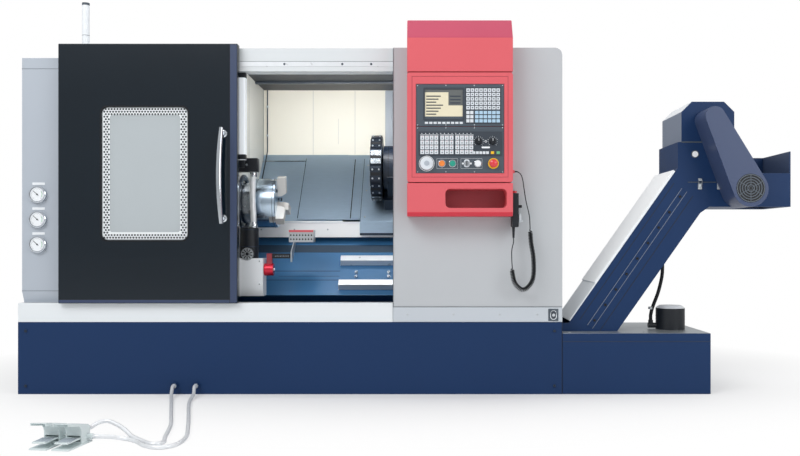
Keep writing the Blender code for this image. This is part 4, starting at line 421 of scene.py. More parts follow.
def turned(profile: Sequence[Flat], axis: Axis, centre: Flat, sides: int = 48) -> Shape:
    """A turned shape.

    Args:
        profile: (place along the axis, radius) points; radius 0 closes an end.
        axis: the axis that it turns about.
        centre: the axis's two other coordinates.
        sides: how many sides the circle has.

    Returns:
        A closed shape with its faces pointing out.
    """
    shape = bmesh.new()
    rings = []
    for along, radius in profile:
        circle = arc(centre, radius, 0, 360 - 360 / sides, sides - 1) if radius else [centre]
        rings.append([shape.verts.new(at(axis, along, a, b)) for a, b in circle])
    strip_round(shape, rings + rings[:1] if profile[0][1] else rings)
    bmesh.ops.recalc_face_normals(shape, faces=shape.faces)
    return shape


def drum(axis: Axis, centre: Flat, radius: float, low: float, high: float, sides: int = 32) -> Shape:
    """A round bar with softened rims.

    Args:
        axis: the axis that it lies along.
        centre: the axis's two other coordinates.
        radius: its radius.
        low: where it starts.
        high: where it ends.
        sides: how many sides it has.

    Returns:
        A closed shape.
    """
    soft = min(radius, high - low) * 0.12
    profile = [(low, 0), (low, radius - soft), (low + soft, radius), (high - soft, radius),
               (high, radius - soft), (high, 0)]
    return turned(profile, axis, centre, sides)


def disc(axis: Axis, centre: Flat, radius: float, start: float, stop: float, sides: int = 32) -> Shape:
    """A plain round slice along an axis."""
    return turned([(start, 0), (start, radius), (stop, radius), (stop, 0)], axis, centre, sides)


def ring(
    axis: Axis, centre: Flat, outer: float, inner: float, start: float, stop: float, sides: int = 40
) -> Shape:
    """A round ring along an axis."""
    return turned([(start, outer), (stop, outer), (stop, inner), (start, inner)], axis, centre, sides)


def flat_frame(outer: Sequence[Flat], inner: Sequence[Flat], front: float, back: float) -> Shape:
    """A flat frame that looks to the front.

    Args:
        outer: its outer outline.
        inner: its inner outline, with as many points.
        front: its front's place.
        back: its back's place.

    Returns:
        A closed shape with its faces pointing out.
    """
    shape = bmesh.new()
    loops = [[shape.verts.new((x, y, z)) for x, z in outline]
             for outline, y in ((outer, front), (outer, back), (inner, back), (inner, front))]
    strip_round(shape, loops + loops[:1])
    bmesh.ops.recalc_face_normals(shape, faces=shape.faces)
    return shape


def line_frame(
    x0: float, z0: float, x1: float, z1: float, line: float, front: float, back: float
) -> list[Shape]:
    """A thin rectangular line that looks to the front.

    Args:
        x0: its left edge.
        z0: its lower edge.
        x1: its right edge.
        z1: its upper edge.
        line: the line's width.
        front: its front's place.
        back: its back's place.

    Returns:
        Its four bars.
    """
    return [block((x0, front, z0), (x1, back, z0 + line)), block((x0, front, z1 - line), (x1, back, z1)),
            block((x0, front, z0), (x0 + line, back, z1)), block((x1 - line, front, z0), (x1, back, z1))]


def join(shapes: Iterable[Shape]) -> Shape:
    """Put several shapes in one, left as separate shells.

    Args:
        shapes: the shapes, which are used up.

    Returns:
        The one shape.
    """
    whole = bmesh.new()
    for shape in shapes:
        mesh = mesh_of("part", shape)
        whole.from_mesh(mesh)
        bpy.data.meshes.remove(mesh)
    return whole


def moved(shape: Shape, matrix: Matrix) -> Shape:
    """The shape after a move or a turn."""
    bmesh.ops.transform(shape, matrix=matrix, verts=shape.verts)
    return shape


def turn_at(axis: Axis, degrees: float, spot: Sequence[float] = (0.0, 0.0, 0.0)) -> Matrix:
    """A turn about an axis through the origin, then a move to a spot."""
    return Matrix.Translation(spot) @ Matrix.Rotation(math.radians(degrees), 4, axis.name)


def soften(shape: Shape, width: float, segments: int = 2) -> Shape:
    """Round a shape's sharp edges.

    Args:
        shape: the shape.
        width: how wide the edges are rounded.
        segments: the steps of the rounding.

    Returns:
        The same shape.
    """
    sharp = [e for e in shape.edges if e.is_manifold and e.calc_face_angle(0.0) > math.radians(CREASE)]
    bmesh.ops.bevel(shape, geom=sharp, offset=width, offset_type="OFFSET", segments=segments, profile=0.5,
                    affect="EDGES", clamp_overlap=True)
    return shape


def mesh_of(name: str, shape: Shape) -> bpy.types.Mesh:
    """Make a mesh from a shape.

    Args:
        name: the mesh's name.
        shape: the shape, which is used up.

    Returns:
        The mesh.
    """
    mesh = bpy.data.meshes.new(name)
    shape.to_mesh(mesh)
    shape.free()
    return mesh


def linked(name: str, data: bpy.types.ID) -> Piece:
    """Put a new object in the scene, at the origin.

    Args:
        name: the object's name.
        data: what it shows.

    Returns:
        The object.
    """
    item = bpy.data.objects.new(name, data)
    bpy.context.scene.collection.objects.link(item)
    return item


def dress(item: Piece, finish: Finish, body: str, instead: Sequence[str] = (), sharp: float = SHARP_EDGE,
          even: bool = False) -> Piece:
    """Give an object its finish, its shading and its body.

    Args:
        item: the object, with a mesh.
        finish: its finish.
        body: the body that it rides on.
        instead: the model's nodes that it stands for.
        sharp: edges steeper than this many degrees stay sharp.
        even: whether large flat faces keep their own normals beside rounded edges.

    Returns:
        The object, a piece of the model.
    """
    item.data.materials.clear()
    item.data.materials.append(finish.material())
    item.data.shade_smooth()
    item.data.set_sharp_from_angle(angle=math.radians(sharp))
    if even:
        item.modifiers.new("even normals", "WEIGHTED_NORMAL").keep_sharp = True
        weighed = bpy.data.meshes.new_from_object(item.evaluated_get(bpy.context.evaluated_depsgraph_get()))
        item.modifiers.clear()
        item.data = weighed
    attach(item, body)
    if instead:
        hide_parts(*instead)
    return item


def place(name: str, shape: Shape, finish: Finish, body: str = "lathe", instead: Sequence[str] = (),
          sharp: float = SHARP_EDGE, even: bool = False) -> Piece:
    """A finished piece from a shape at its place in the model; the rest is as for dress."""
    return dress(linked(name, mesh_of(name, shape)), finish, body, instead, sharp, even)


def slab(name: str, finish: Finish, low: Point, high: Point, soft: float = 0.0, segments: int = 2,
         body: str = "lathe") -> Piece:
    """A finished box.

    Args:
        name: the piece's name.
        finish: its finish.
        low: its lowest corner.
        high: its highest corner.
        soft: how wide its edges are rounded, if at all.
        segments: the steps of the rounding.
        body: the body that it rides on.

    Returns:
        The piece.
    """
    shape = block(low, high)
    return place(name, soften(shape, soft, segments) if soft else shape, finish, body)


def refine(node: str, finish: Finish, body: str = "lathe", edge: float = 0.0015, segments: int = 2) -> Piece:
    """A model node's own shape again, welded, with its sharp edges rounded and in its finish.

    Args:
        node: the node.
        finish: the finish.
        body: the body that it rides on.
        edge: how wide its edges are rounded.
        segments: the steps of the rounding.

    Returns:
        The piece that stands for the node.
    """
    shape = bmesh.new()
    shape.from_mesh(frame["nodes"][node].data)
    bmesh.ops.remove_doubles(shape, verts=shape.verts, dist=WELD)
    bmesh.ops.dissolve_limit(shape, angle_limit=math.radians(FLATNESS), verts=shape.verts, edges=shape.edges)
    return place(f"{node}_skin", soften(shape, edge, segments), finish, body, (node,), even=True)


def paint_faces(item: Piece, finish: Finish, low: Point, high: Point, toward: Point = (0, 0, 0),
                least: float = -2.0) -> None:
    """Give a piece's faces a finish where their middles lie in a box and they look one way.

    Args:
        item: the piece.
        finish: the finish.
        low: the box's lowest corner.
        high: its highest corner.
        toward: the direction that the faces look in.
        least: the least cosine between their normals and that direction.
    """
    mesh = item.data
    mesh.materials.append(finish.material())
    way = Vector(toward)
    for face in mesh.polygons:
        inside = all(a <= c <= b for a, c, b in zip(low, face.center, high))
        if inside and face.normal.dot(way) >= least:
            face.material_index = len(mesh.materials) - 1


def smooth_route(points: Sequence[Point], spacing: float) -> list[Vector]:
    """A smooth curve through a route.

    Args:
        points: the route's points; its ends run straight out.
        spacing: how far apart the curve's points are, about.

    Returns:
        Points at even spacing along the curve.
    """
    knots = [Vector(p) for p in points]
    track = [knots[0] * 2 - knots[1], *knots, knots[-1] * 2 - knots[-2]]
    fine = []
    for a, b, c, d in zip(track, track[1:], track[2:], track[3:]):
        for i in range(CURVE_STEPS):
            t = i / CURVE_STEPS
            fine.append(0.5 * (2 * b + (c - a) * t + (2 * a - 5 * b + 4 * c - d) * t**2
                               + (3 * b - a - 3 * c + d) * t**3))
    fine.append(knots[-1])
    lengths = [0.0]
    for a, b in zip(fine, fine[1:]):
        lengths.append(lengths[-1] + (b - a).length)
    count = max(2, round(lengths[-1] / spacing))
    even, k = [], 0
    for i in range(count + 1):
        want = lengths[-1] * i / count
        while k < len(fine) - 2 and lengths[k + 1] < want:
            k += 1
        share = (want - lengths[k]) / (lengths[k + 1] - lengths[k])
        even.append(fine[k].lerp(fine[k + 1], share))
    return even


def frames_along(points: Sequence[Vector]) -> list[tuple[Vector, Vector]]:
    """Directions across a route.

    Args:
        points: the route.

    Returns:
        Two directions square to it at each of its points, turned as little as possible.
    """
    headings = [(b - a).normalized() for a, b in zip(points, points[1:])]
    headings.append(headings[-1])
    side = headings[0].orthogonal().normalized()
    pairs = []
    for heading in headings:
        side = (side - heading * side.dot(heading)).normalized()
        pairs.append((side, heading.cross(side)))
    return pairs


def sweep(points: Sequence[Vector], radii: Sequence[float], sides: int = 14) -> Shape:
    """A round tube along a route.

    Args:
        points: the route.
        radii: the tube's radius at each of its points.
        sides: how many sides the tube has.

    Returns:
        A shape with closed ends.
    """
    shape = bmesh.new()
    turns = [2 * math.pi * i / sides for i in range(sides)]
    rings = [[shape.verts.new(point + (side * math.cos(t) + up * math.sin(t)) * radius) for t in turns]
             for point, radius, (side, up) in zip(points, radii, frames_along(points))]
    strip_round(shape, rings)
    shape.faces.new(list(reversed(rings[0])))
    shape.faces.new(rings[-1])
    return shape


def ribbed(points: Sequence[Point], radius: float, pitch: float, depth: float) -> tuple[Shape, list[Vector]]:
    """A corrugated tube along a smooth route.

    Args:
        points: the route's points.
        radius: the radius of the ribs.
        pitch: how far apart the ribs are.
        depth: how deep the grooves between them are.

    Returns:
        The tube and the centreline that it follows.
    """
    line = smooth_route(points, pitch / 2)
    radii = [radius - depth * (i % 2) for i in range(len(line))]
    return sweep(line, radii), line


class Pattern:
    """A Geometry Nodes group that sets copies of a small shape on a list of points."""

    @staticmethod
    def spread(name: str, spots: Sequence[Sequence[float]], item: Shape, finish: Finish, body: str = "lathe",
               lift: float = 0.0) -> Piece:
        """Copies of a small shape, realised in one piece.

        Args:
            name: the piece's name.
            spots: where the copies' origins go.
            item: the small shape, modelled about the origin.
            finish: the finish of all the copies.
            body: the body that they ride on.
            lift: how far each copy stands off its spot toward the front.

        Returns:
            One plain mesh piece.
        """
        points = bpy.data.meshes.new(f"{name}_spots")
        points.from_pydata([tuple(s) for s in spots], [], [])
        carrier = linked(f"{name}_spots", points)
        small = linked(f"{name}_item", mesh_of(f"{name}_item", item))
        group = Pattern._group(finish)
        modifier = carrier.modifiers.new("spread", "NODES")
        modifier.node_group = group
        sockets = {s.name: s.identifier for s in group.interface.items_tree if s.in_out == "INPUT"}
        modifier[sockets["Item"]] = small
        modifier[sockets["Lift"]] = lift
        points.update()
        mesh = bpy.data.meshes.new_from_object(carrier.evaluated_get(bpy.context.evaluated_depsgraph_get()))
        carrier.modifiers.clear()
        bpy.data.objects.remove(carrier)
        bpy.data.objects.remove(small)
        return dress(linked(name, mesh), finish, body)

    @staticmethod
    def _group(finish: Finish) -> Tree:
        """Build the node group: instances on points, realised, with the finish set.

        Args:
            finish: the finish of the repeated shapes.

        Returns:
            The group.
        """
        key = f"spread {finish.name}"
        found = bpy.data.node_groups.get(key)
        if found is not None:
            return found
        group = bpy.data.node_groups.new(key, "GeometryNodeTree")
        for label, way, kind in (("Geometry", "INPUT", "Geometry"), ("Item", "INPUT", "Object"),
                                 ("Lift", "INPUT", "Float"), ("Geometry", "OUTPUT", "Geometry")):
            group.interface.new_socket(label, in_out=way, socket_type=f"NodeSocket{kind}")
        given = add(group, "NodeGroupInput")
        info = add(group, "GeometryNodeObjectInfo", {"As Instance": True})
        to_points = add(group, "GeometryNodeMeshToPoints")
        toward_front = add(group, "ShaderNodeMath", {1: -1.0}, operation="MULTIPLY")
        offset = add(group, "ShaderNodeCombineXYZ")
        shift = add(group, "GeometryNodeSetPosition")
        copies = add(group, "GeometryNodeInstanceOnPoints")
        real = add(group, "GeometryNodeRealizeInstances")
        paint = add(group, "GeometryNodeSetMaterial", {"Material": finish.material()})
        result = add(group, "NodeGroupOutput")
        wire(group, (given, "Geometry", to_points, "Mesh"), (to_points, "Points", shift, "Geometry"),
             (given, "Lift", toward_front, 0), (toward_front, 0, offset, "Y"),
             (offset, "Vector", shift, "Offset"), (shift, "Geometry", copies, "Points"),
             (given, "Item", info, "Object"),
             (info, "Geometry", copies, "Instance"), (copies, "Instances", real, "Geometry"),
             (real, "Geometry", paint, "Geometry"), (paint, "Geometry", result, "Geometry"))
        return group


def pan_screw(radius: float = 0.0045, height: float = 0.0022) -> Shape:
    """A pan-head screw about the origin, facing the front."""
    profile = [(0.0, 0), (0.0, radius), (-height * 0.5, radius), (-height, radius * 0.62), (-height, 0)]
    return turned(profile, Y, (0, 0), 14)


def socket_screw(radius: float, height: float) -> Shape:
    """Build a socket-head screw about the origin, facing the front, with its round well.

    Args:
        radius: the head's radius.
        height: the head's height.

    Returns:
        A closed shape.
    """
    well = radius * 0.5
    return turned([(0.0, 0), (0.0, radius), (-height * 0.9, radius), (-height, radius * 0.9), (-height, well),
                   (-height * 0.4, well * 0.9), (-height * 0.4, 0)], Y, (0, 0), 18)


@dataclass
class Studio:
    """White studio: camera at the photograph's place, pale floor and soft lights."""

    distance: float = 4.0
    x: float = 0.62
    height: float = 0.721
    lens: float = 37.7
    sensor: float = 36.0
    shift: Flat = (-0.025, 0.019)
    key: float = 130.0
    fill: float = 55.0
    inside: float = 6.0
    top_specular: float = 0.25
    surround: float = 0.62
    reach: float = 40.0

    def build(self) -> None:
        """Camera, world, floor and lights."""
        scene = bpy.context.scene
        scene.view_settings.view_transform = "Standard"
        lens = bpy.data.cameras.new("camera")
        lens.lens = self.lens
        lens.sensor_width = self.sensor
        lens.shift_x, lens.shift_y = self.shift
        camera = linked("camera", lens)
        camera.location = (self.x, FRONT - self.distance, self.height)
        camera.rotation_euler = (math.radians(90), 0, 0)
        scene.camera = camera
        self._world()
        floor = self._floor()
        lamps = (
            self._lamp("key", (-2.2, -4.2, 4.2), (0.3, -0.4, 0.8), (3.4, 2.4), self.key),
            self._lamp("fill", (3.8, -3.6, 2.4), (0.6, -0.6, 0.9), (2.2, 2.6), self.fill),
            self._lamp("top", (0.4, 0.2, 4.4), (0.4, -0.2, 0.5), (4.5, 2.6), self.fill, self.top_specular),
            self._lamp("inside", (0.25, -0.6, 1.5), (0.2, 0.15, 1.15), (0.9, 0.16), self.inside),
        )

    def _world(self) -> None:
        """White to the camera, a soft pale surround for the light."""
        world = bpy.data.worlds.new("studio")
        bpy.context.scene.world = world
        world.use_nodes = True
        tree = world.node_tree
        tree.nodes.clear()
        out = add(tree, "ShaderNodeOutputWorld")
        mix = add(tree, "ShaderNodeMixShader")
        path = add(tree, "ShaderNodeLightPath")
        seen = add(tree, "ShaderNodeBackground", {"Color": (1, 1, 1, 1), "Strength": 1.0})
        around = add(tree, "ShaderNodeBackground", {"Strength": self.surround})
        where = add(tree, "ShaderNodeTexCoord")
        split = add(tree, "ShaderNodeSeparateXYZ")
        rise = add(tree, "ShaderNodeMapRange", {"From Min": -1.0})
        ramp = add(tree, "ShaderNodeValToRGB")
        low, high = ramp.color_ramp.elements
        low.position, low.color = 0.3, (0.42, 0.44, 0.47, 1)
        high.position, high.color = 0.72, (1.0, 1.0, 1.0, 1)
        wire(tree, (where, "Generated", split, "Vector"), (split, "Z", rise, "Value"),
             (rise, "Result", ramp, "Fac"), (ramp, "Color", around, "Color"), (path, "Is Camera Ray", mix, 0),
             (around, 0, mix, 1), (seen, 0, mix, 2), (mix, 0, out, "Surface"))

    def _floor(self) -> Piece:
        """Lay a pale floor that keeps the contact shadows and is white to the camera elsewhere.

        Returns:
            The floor.
        """
        corners = [(x * self.reach, y * self.reach, 0) for x, y in ((-1, -1), (1, -1), (1, 1), (-1, 1))]
        mesh = bpy.data.meshes.new("floor")
        mesh.from_pydata(corners, [], [(0, 1, 2, 3)])
        material = bpy.data.materials.new("studio floor")
        material.use_nodes = True
        tree = material.node_tree
        shader = tree.nodes["Principled BSDF"]
        fill(shader, {"Base Color": (0.88, 0.885, 0.89, 1), "Roughness": 0.9})
        where = add(tree, "ShaderNodeTexCoord")
        scale = add(tree, "ShaderNodeMapping", {"Location": (-0.2, 0.0, 0.0), "Scale": (0.42, 0.6, 1.0)})
        far = add(tree, "ShaderNodeVectorMath", operation="LENGTH")
        edge = add(tree, "ShaderNodeMapRange", {"From Min": 0.55, "From Max": 1.15})
        path = add(tree, "ShaderNodeLightPath")
        both = add(tree, "ShaderNodeMath", operation="MULTIPLY")
        white = add(tree, "ShaderNodeEmission", {"Color": (1, 1, 1, 1)})
        mix = add(tree, "ShaderNodeMixShader")
        wire(tree, (where, "Object", scale, "Vector"), (scale, "Vector", far, 0),
             (far, "Value", edge, "Value"), (edge, "Result", both, 0), (path, "Is Camera Ray", both, 1),
             (both, 0, mix, 0),
             (shader, 0, mix, 1), (white, 0, mix, 2), (mix, 0, tree.nodes["Material Output"], "Surface"))
        mesh.materials.append(material)
        return linked("floor", mesh)

    @staticmethod
    def _lamp(name: str, spot: Point, aim: Point, size: Flat, power: float, specular: float = 1.0) -> Piece:
        """A soft rectangular lamp.

        Args:
            name: its name.
            spot: where it hangs.
            aim: the point that it looks at.
            size: its width and height.
            power: its power in watts.
            specular: its share in the highlights.

        Returns:
            The lamp.
        """
        data = bpy.data.lights.new(name, "AREA")
        data.shape = "RECTANGLE"
        data.size, data.size_y = size
        data.energy = power
        data.specular_factor = specular
        lamp = linked(name, data)
        lamp.location = spot
        lamp.rotation_euler = (Vector(aim) - Vector(spot)).to_track_quat("-Z", "Y").to_euler()
        lamp.visible_camera = False
        return lamp


@dataclass
class PendantLead:
    """The hand pendant's lead: straight out of its gland, a curly hanging stretch, and up into the grip."""

    wire: float = 0.0045
    coil_radius: float = 0.0095
    coil_pitch: float = 0.007
    coil_steps: int = 14
    spacing: float = 0.0075
    ease: int = 42
    gland: Flat = (1.062, 1.058)
    upper: tuple[Flat, ...] = ((1.0653, 1.058), (1.077, 1.058), (1.0945, 1.045), (1.1045, 1.015),
                               (1.1087, 0.983), (1.12, 0.915), (1.1345, 0.85), (1.1385, 0.79))
    coil: tuple[Flat, ...] = ((1.1385, 0.79), (1.143, 0.7225), (1.1535, 0.655), (1.1545, 0.5733),
                              (1.14, 0.5281), (1.105, 0.5013), (1.0695, 0.5281), (1.056, 0.5733),
                              (1.054, 0.61))
    lower: tuple[Flat, ...] = ((1.054, 0.61), (1.052, 0.6467), (1.0525, 0.69), (1.0603, 0.7247),
                               (1.0603, 0.7447))

    def build(self) -> None:
        """The lead as one curve on the CAD's route."""
        upper, coil, lower = [[(x, PENDANT_PLANE, z) for x, z in route]
                              for route in (self.upper, self.coil, self.lower)]
        start, end = smooth_route(upper, self.spacing), smooth_route(lower, self.spacing)
        points = start[:-1] + self._curl(coil) + end[1:]
        curve = bpy.data.curves.new("pendant_lead", "CURVE")
        curve.dimensions = "3D"
        curve.bevel_depth = self.wire / 2
        curve.bevel_resolution = 2
        curve.use_fill_caps = True
        spline = curve.splines.new("POLY")
        spline.points.add(len(points) - 1)
        for spot, point in zip(spline.points, points):
            spot.co = (*point, 1.0)
        curve.materials.append(RUBBER.material())
        lead = linked("pendant_lead", curve)
        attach(lead, "lathe")
        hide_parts("cord_upper", "cord_coil", "cord_lower")
        x, z = self.gland
        tip = x + 0.016
        relief = turned([(x, 0.0042), (x + 0.004, 0.004), (tip, 0.0026), (tip, 0.002), (x, 0.002)], X,
                        (PENDANT_PLANE, z), 20)
        place("lead_relief", relief, RUBBER)

    def _curl(self, route: Sequence[Point]) -> list[Vector]:
        """Wind the curly stretch: a helix about the route, which opens out of it and closes again.

        Args:
            route: the stretch's middle line.

        Returns:
            The wire's points.
        """
        line = smooth_route(route, self.coil_pitch / self.coil_steps)
        last = len(line) - 1
        turn = 0.0
        curl = []
        for i, (point, (side, up)) in enumerate(zip(line, frames_along(line))):
            share = min(1.0, i / self.ease, (last - i) / self.ease)
            radius = self.coil_radius * share * share * (3 - 2 * share)
            turn += 2 * math.pi / self.coil_steps * share
            curl.append(point + (side * math.cos(turn) + up * math.sin(turn)) * radius)
        return curl


@dataclass
class SwitchLead:
    """One of the two armoured leads that lie on the floor to the foot switch."""

    name: str
    start: Point
    route: tuple[Point, ...]
    stop: Point
    away: Point
    radius: float = 0.008
    pitch: float = 0.0048
    groove: float = 0.0009

    def build(self) -> None:
        """A corrugated tube on the CAD's route, with the nut of its gland."""
        start, stop, away = Vector(self.start), Vector(self.stop), Vector(self.away)
        points = [start, start + Vector((0, -0.03, 0)), start + Vector((0.012, -0.09, -0.026)),
                  *self.route, stop + away * 0.022, stop]
        shape, line = ribbed(points, self.radius, self.pitch, self.groove)
        lead = place(f"{self.name}_armour", shape, ARMOUR, instead=(self.name,), sharp=RIB_EDGE)
        bore = self.radius + 0.0002
        nut = turned([(FRONT - 0.02, bore), (FRONT - 0.02, 0.0125), (FRONT - 0.03, 0.012),
                      (FRONT - 0.032, 0.0105), (FRONT - 0.032, bore)], Y, (start.x, start.z), 6)
        place(f"{self.name}_nut", soften(nut, 0.0008), ZINC)


FLOOR_LINE = 0.0085
SWITCH_LEADS = (
    SwitchLead(
        "conduit_left", (-0.5466, -0.8203, 0.0435),
        ((-0.508, -1.0, FLOOR_LINE), (-0.464, -1.15, FLOOR_LINE), (-0.405, -1.35, FLOOR_LINE),
         (-0.3565, -1.518, FLOOR_LINE), (-0.318, -1.715, FLOOR_LINE), (-0.3, -1.8, FLOOR_LINE),
         (-0.3316, -1.828, FLOOR_LINE), (-0.4025, -1.765, 0.0121), (-0.434, -1.74, 0.0175),
         (-0.469, -1.712, 0.0347), (-0.5058, -1.688, 0.0475), (-0.545, -1.672, 0.057),
         (-0.575, -1.684, 0.054)),
        (-0.5942, -1.7366, 0.044), (0.139173, 0.990268, 0.0)),
    SwitchLead(
        "conduit_right", (-0.444, -0.8203, 0.0435),
        ((-0.423, -1.0, FLOOR_LINE), (-0.388, -1.15, FLOOR_LINE), (-0.333, -1.35, FLOOR_LINE),
         (-0.288, -1.518, FLOOR_LINE), (-0.24, -1.72, FLOOR_LINE), (-0.244, -1.835, FLOOR_LINE),
         (-0.29, -1.878, FLOOR_LINE), (-0.349, -1.85, FLOOR_LINE), (-0.3914, -1.798, FLOOR_LINE),
         (-0.427, -1.764, FLOOR_LINE), (-0.46, -1.752, 0.011), (-0.5, -1.76, 0.0185)),
        (-0.5596, -1.7778, 0.0245), (0.990268, -0.139173, 0.0)),
)


@dataclass
class BaseFrame:
    """Navy base with its joint to the tank and its screws."""

    joint_x: float = 1.2995
    top: float = 0.344

    def build(self) -> None:
        """The base and its details."""
        refine("base_frame", NAVY, edge=0.003)
        slab("base_joint", HOLE, (self.joint_x - 0.0022, FRONT - 0.0004, 0.004),
             (self.joint_x, FRONT + 0.004, self.top - 0.002))
        Pattern.spread("base_screws", crossed((-1.262, 1.262), (FRONT - 0.0002,), (0.04, 0.302)),
                       socket_screw(0.0065, 0.005), DARK_STEEL)


@dataclass
class PressureGauge:
    """A pressure gauge: chrome bezel, white dial, scale and needle."""

    x: float
    z: float
    front: float = -0.796
    radius: float = 0.04
    marks: int = 21
    sweep_of_scale: float = 270.0
    reading: float = -48.0

    def build(self) -> None:
        """The gauge's pieces at its place."""
        tag, middle, spot = round(self.z * 1000), (self.x, self.z), (self.x, 0, self.z)
        edge, y = self.radius, self.front
        bezel = turned([(y + 0.012, edge), (y + 0.001, edge), (y - 0.0015, edge - 0.003),
                        (y - 0.0015, edge - 0.005), (y + 0.002, edge - 0.0075), (y + 0.012, edge - 0.0075)],
                       Y, middle)
        place(f"gauge_bezel_{tag}", bezel, CHROME)
        place(f"gauge_dial_{tag}", disc(Y, middle, edge - 0.0076, y - 0.0004, y + 0.003, 40), WHITE)
        scale = []
        for i in range(self.marks):
            long = 0.0035 if i % 5 else 0.006
            mark = block((-0.0005, y - 0.0009, edge - 0.01 - long), (0.0005, y - 0.0003, edge - 0.01))
            turn = self.sweep_of_scale * (i / (self.marks - 1) - 0.5)
            scale.append(moved(mark, turn_at(Y, turn, spot)))
        needle = block((-0.0011, y - 0.0014, -0.008), (0.0011, y - 0.0008, edge - 0.014))
        scale.append(moved(needle, turn_at(Y, self.reading, spot)))
        scale.append(disc(Y, middle, 0.0035, y - 0.002, y - 0.0004, 16))
        place(f"gauge_scale_{tag}", join(scale), BLACK)
        zone = arc(middle, edge - 0.0155, -30, 40, 12) + arc(middle, edge - 0.0175, 40, -30, 12)
        place(f"gauge_zone_{tag}", prism(zone, Y, y - 0.0008, y - 0.0003), GREEN)


@dataclass
class LeftCabinet:
    """Narrow cabinet at the left with three gauges, their label strips and its seams."""

    gauge_x: float = -1.21
    gauge_z: tuple[float, ...] = (0.7153, 0.8348, 0.9543)
    screw_out: float = 0.0335
    face: float = -0.78

    def build(self) -> None:
        """The cabinet, its gauges and strips."""
        refine("left_cabinet", CABINET, edge=0.003)
        x, y = self.gauge_x, self.face
        for z in self.gauge_z:
            tag = round(z * 1000)
            PressureGauge(x, z).build()
            strip = prism(rounded(x - 0.03, z + 0.046, x + 0.03, z + 0.058, 0.002), Y, y - 0.0012, y + 0.001)
            place(f"gauge_strip_{tag}", strip, WHITE)
            for side in (-1, 1):
                spot = (x + side * self.screw_out, z - self.screw_out)
                screw = ring(Y, spot, 0.0032, 0.001, y - 0.002, y + 0.001, 12)
                place(f"gauge_screw_{tag}_{side + 1}", screw, ZINC)
        seams = [block((-1.2905, y - 0.0004, z), (-1.0953, y + 0.002, z + 0.0018)) for z in (0.4915, 1.557)]
        place("cabinet_seams", join(seams), SLATE)


@dataclass
class SlidingDoor:
    """Gloss black sliding door: edge strips, glass with its dotted border, bowed chrome handle."""

    left: float = -1.095
    right: float = -0.245
    low: float = 0.4353
    high: float = 1.6673
    face: float = -0.83
    pane: tuple[float, float, float, float] = (-0.8897, 0.7356, -0.4803, 1.367)
    border: float = 0.038
    inset: float = 0.004
    dot: float = 0.0052
    dot_pitch: float = 0.0138
    handle_in: float = 0.067
    bow: float = 0.01
    posts: Flat = (0.838, 1.24)

    def build(self) -> None:
        """The door's pieces, all on the door's body."""
        refine("door_panel", GLOSS, "door", 0.003, 3)
        refine("door_window", GLASS, "door", 0.001)
        self._strips()
        self._frit()
        self._handle()

    def _strips(self) -> None:
        """Painted edge strips, the seams beside them and the window's gasket."""
        y0, y1 = self.face - 0.0007, self.face + 0.002
        left, right, low, high = self.left + 0.003, self.right, self.low, self.high - 0.004
        edge = join([block((right - 0.035, y0, low + 0.004), (right - 0.003, y1, high)),
                     block((left, y0, low + 0.003), (right - 0.0372, y1, low + 0.017))])
        place("door_edge_strips", soften(edge, 0.0005, 1), EDGE, "door")
        y0 += 0.0003
        seams = join([block((right - 0.0374, y0, low + 0.004), (right - 0.0352, y1, high)),
                      block((left, y0, low + 0.0172), (right - 0.0374, y1, low + 0.019))])
        place("door_seams", seams, HOLE, "door")
        gasket = flat_frame(self._round_pane(-0.006, 0.034), self._round_pane(0.0005, 0.028),
                            self.face - 0.0012, self.face + 0.006)
        place("window_gasket", gasket, RUBBER, "door")

    def _round_pane(self, inset: float, radius: float) -> list[Flat]:
        """The pane's outline, moved in by the inset."""
        x0, z0, x1, z1 = self.pane
        return rounded(x0 + inset, z0 + inset, x1 - inset, z1 - inset, radius)

    def _frit(self) -> None:
        """Pale border of the pane with its rows of dark dots."""
        x0, z0, x1, z1 = self.pane
        y, step, inset = self.face + 0.0055, self.dot_pitch, self.inset
        rise = step * 0.866
        band = flat_frame(self._round_pane(inset, 0.026), self._round_pane(self.border, 0.012), y, y + 0.0004)
        place("window_border", band, FRIT, "door")
        spots = []
        for j in range(int((z1 - z0 - 2 * inset) / rise)):
            for i in range(int((x1 - x0 - 2 * inset) / step)):
                x = x0 + 3 * inset + (i + (j % 2) / 2) * step
                z = z0 + 3 * inset + j * rise
                if 2 * inset < min(x - x0, x1 - x, z - z0, z1 - z) < self.border - inset:
                    spots.append((x, y, z))
        Pattern.spread("window_dots", spots, disc(Y, (0, 0), self.dot, -0.0002, 0.0002, 6), FRIT_DOT, "door")

    def _handle(self) -> None:
        """The bowed bar with its two posts and flanges."""
        x, y, steps = self.right - self.handle_in, self.face, 16
        line, radii = [], []
        for i in range(steps + 1):
            bow = 4 * (i / steps) * (1 - i / steps)
            line.append(Vector((x - 0.001 - self.bow * bow, y - 0.0385 - 0.007 * bow, 0.813 + 0.0282 * i)))
            radii.append(0.0098 + 0.0042 * bow)
        posts = [drum(Y, (x, z), 0.009, y - 0.04, y - 0.0003, 24) for z in self.posts]
        place("door_handle_bar", join([sweep(line, radii, 20), *posts]), CHROME, "door", ("door_handle",))
        for name, z in zip(("low", "high"), self.posts):
            flange = turned([(y - 0.0003, 0.0095), (y - 0.0003, 0.019), (y - 0.004, 0.018),
                             (y - 0.007, 0.0125), (y - 0.007, 0.0095)], Y, (x, z), 32)
            place(f"handle_flange_{name}", flange, CHROME, "door")


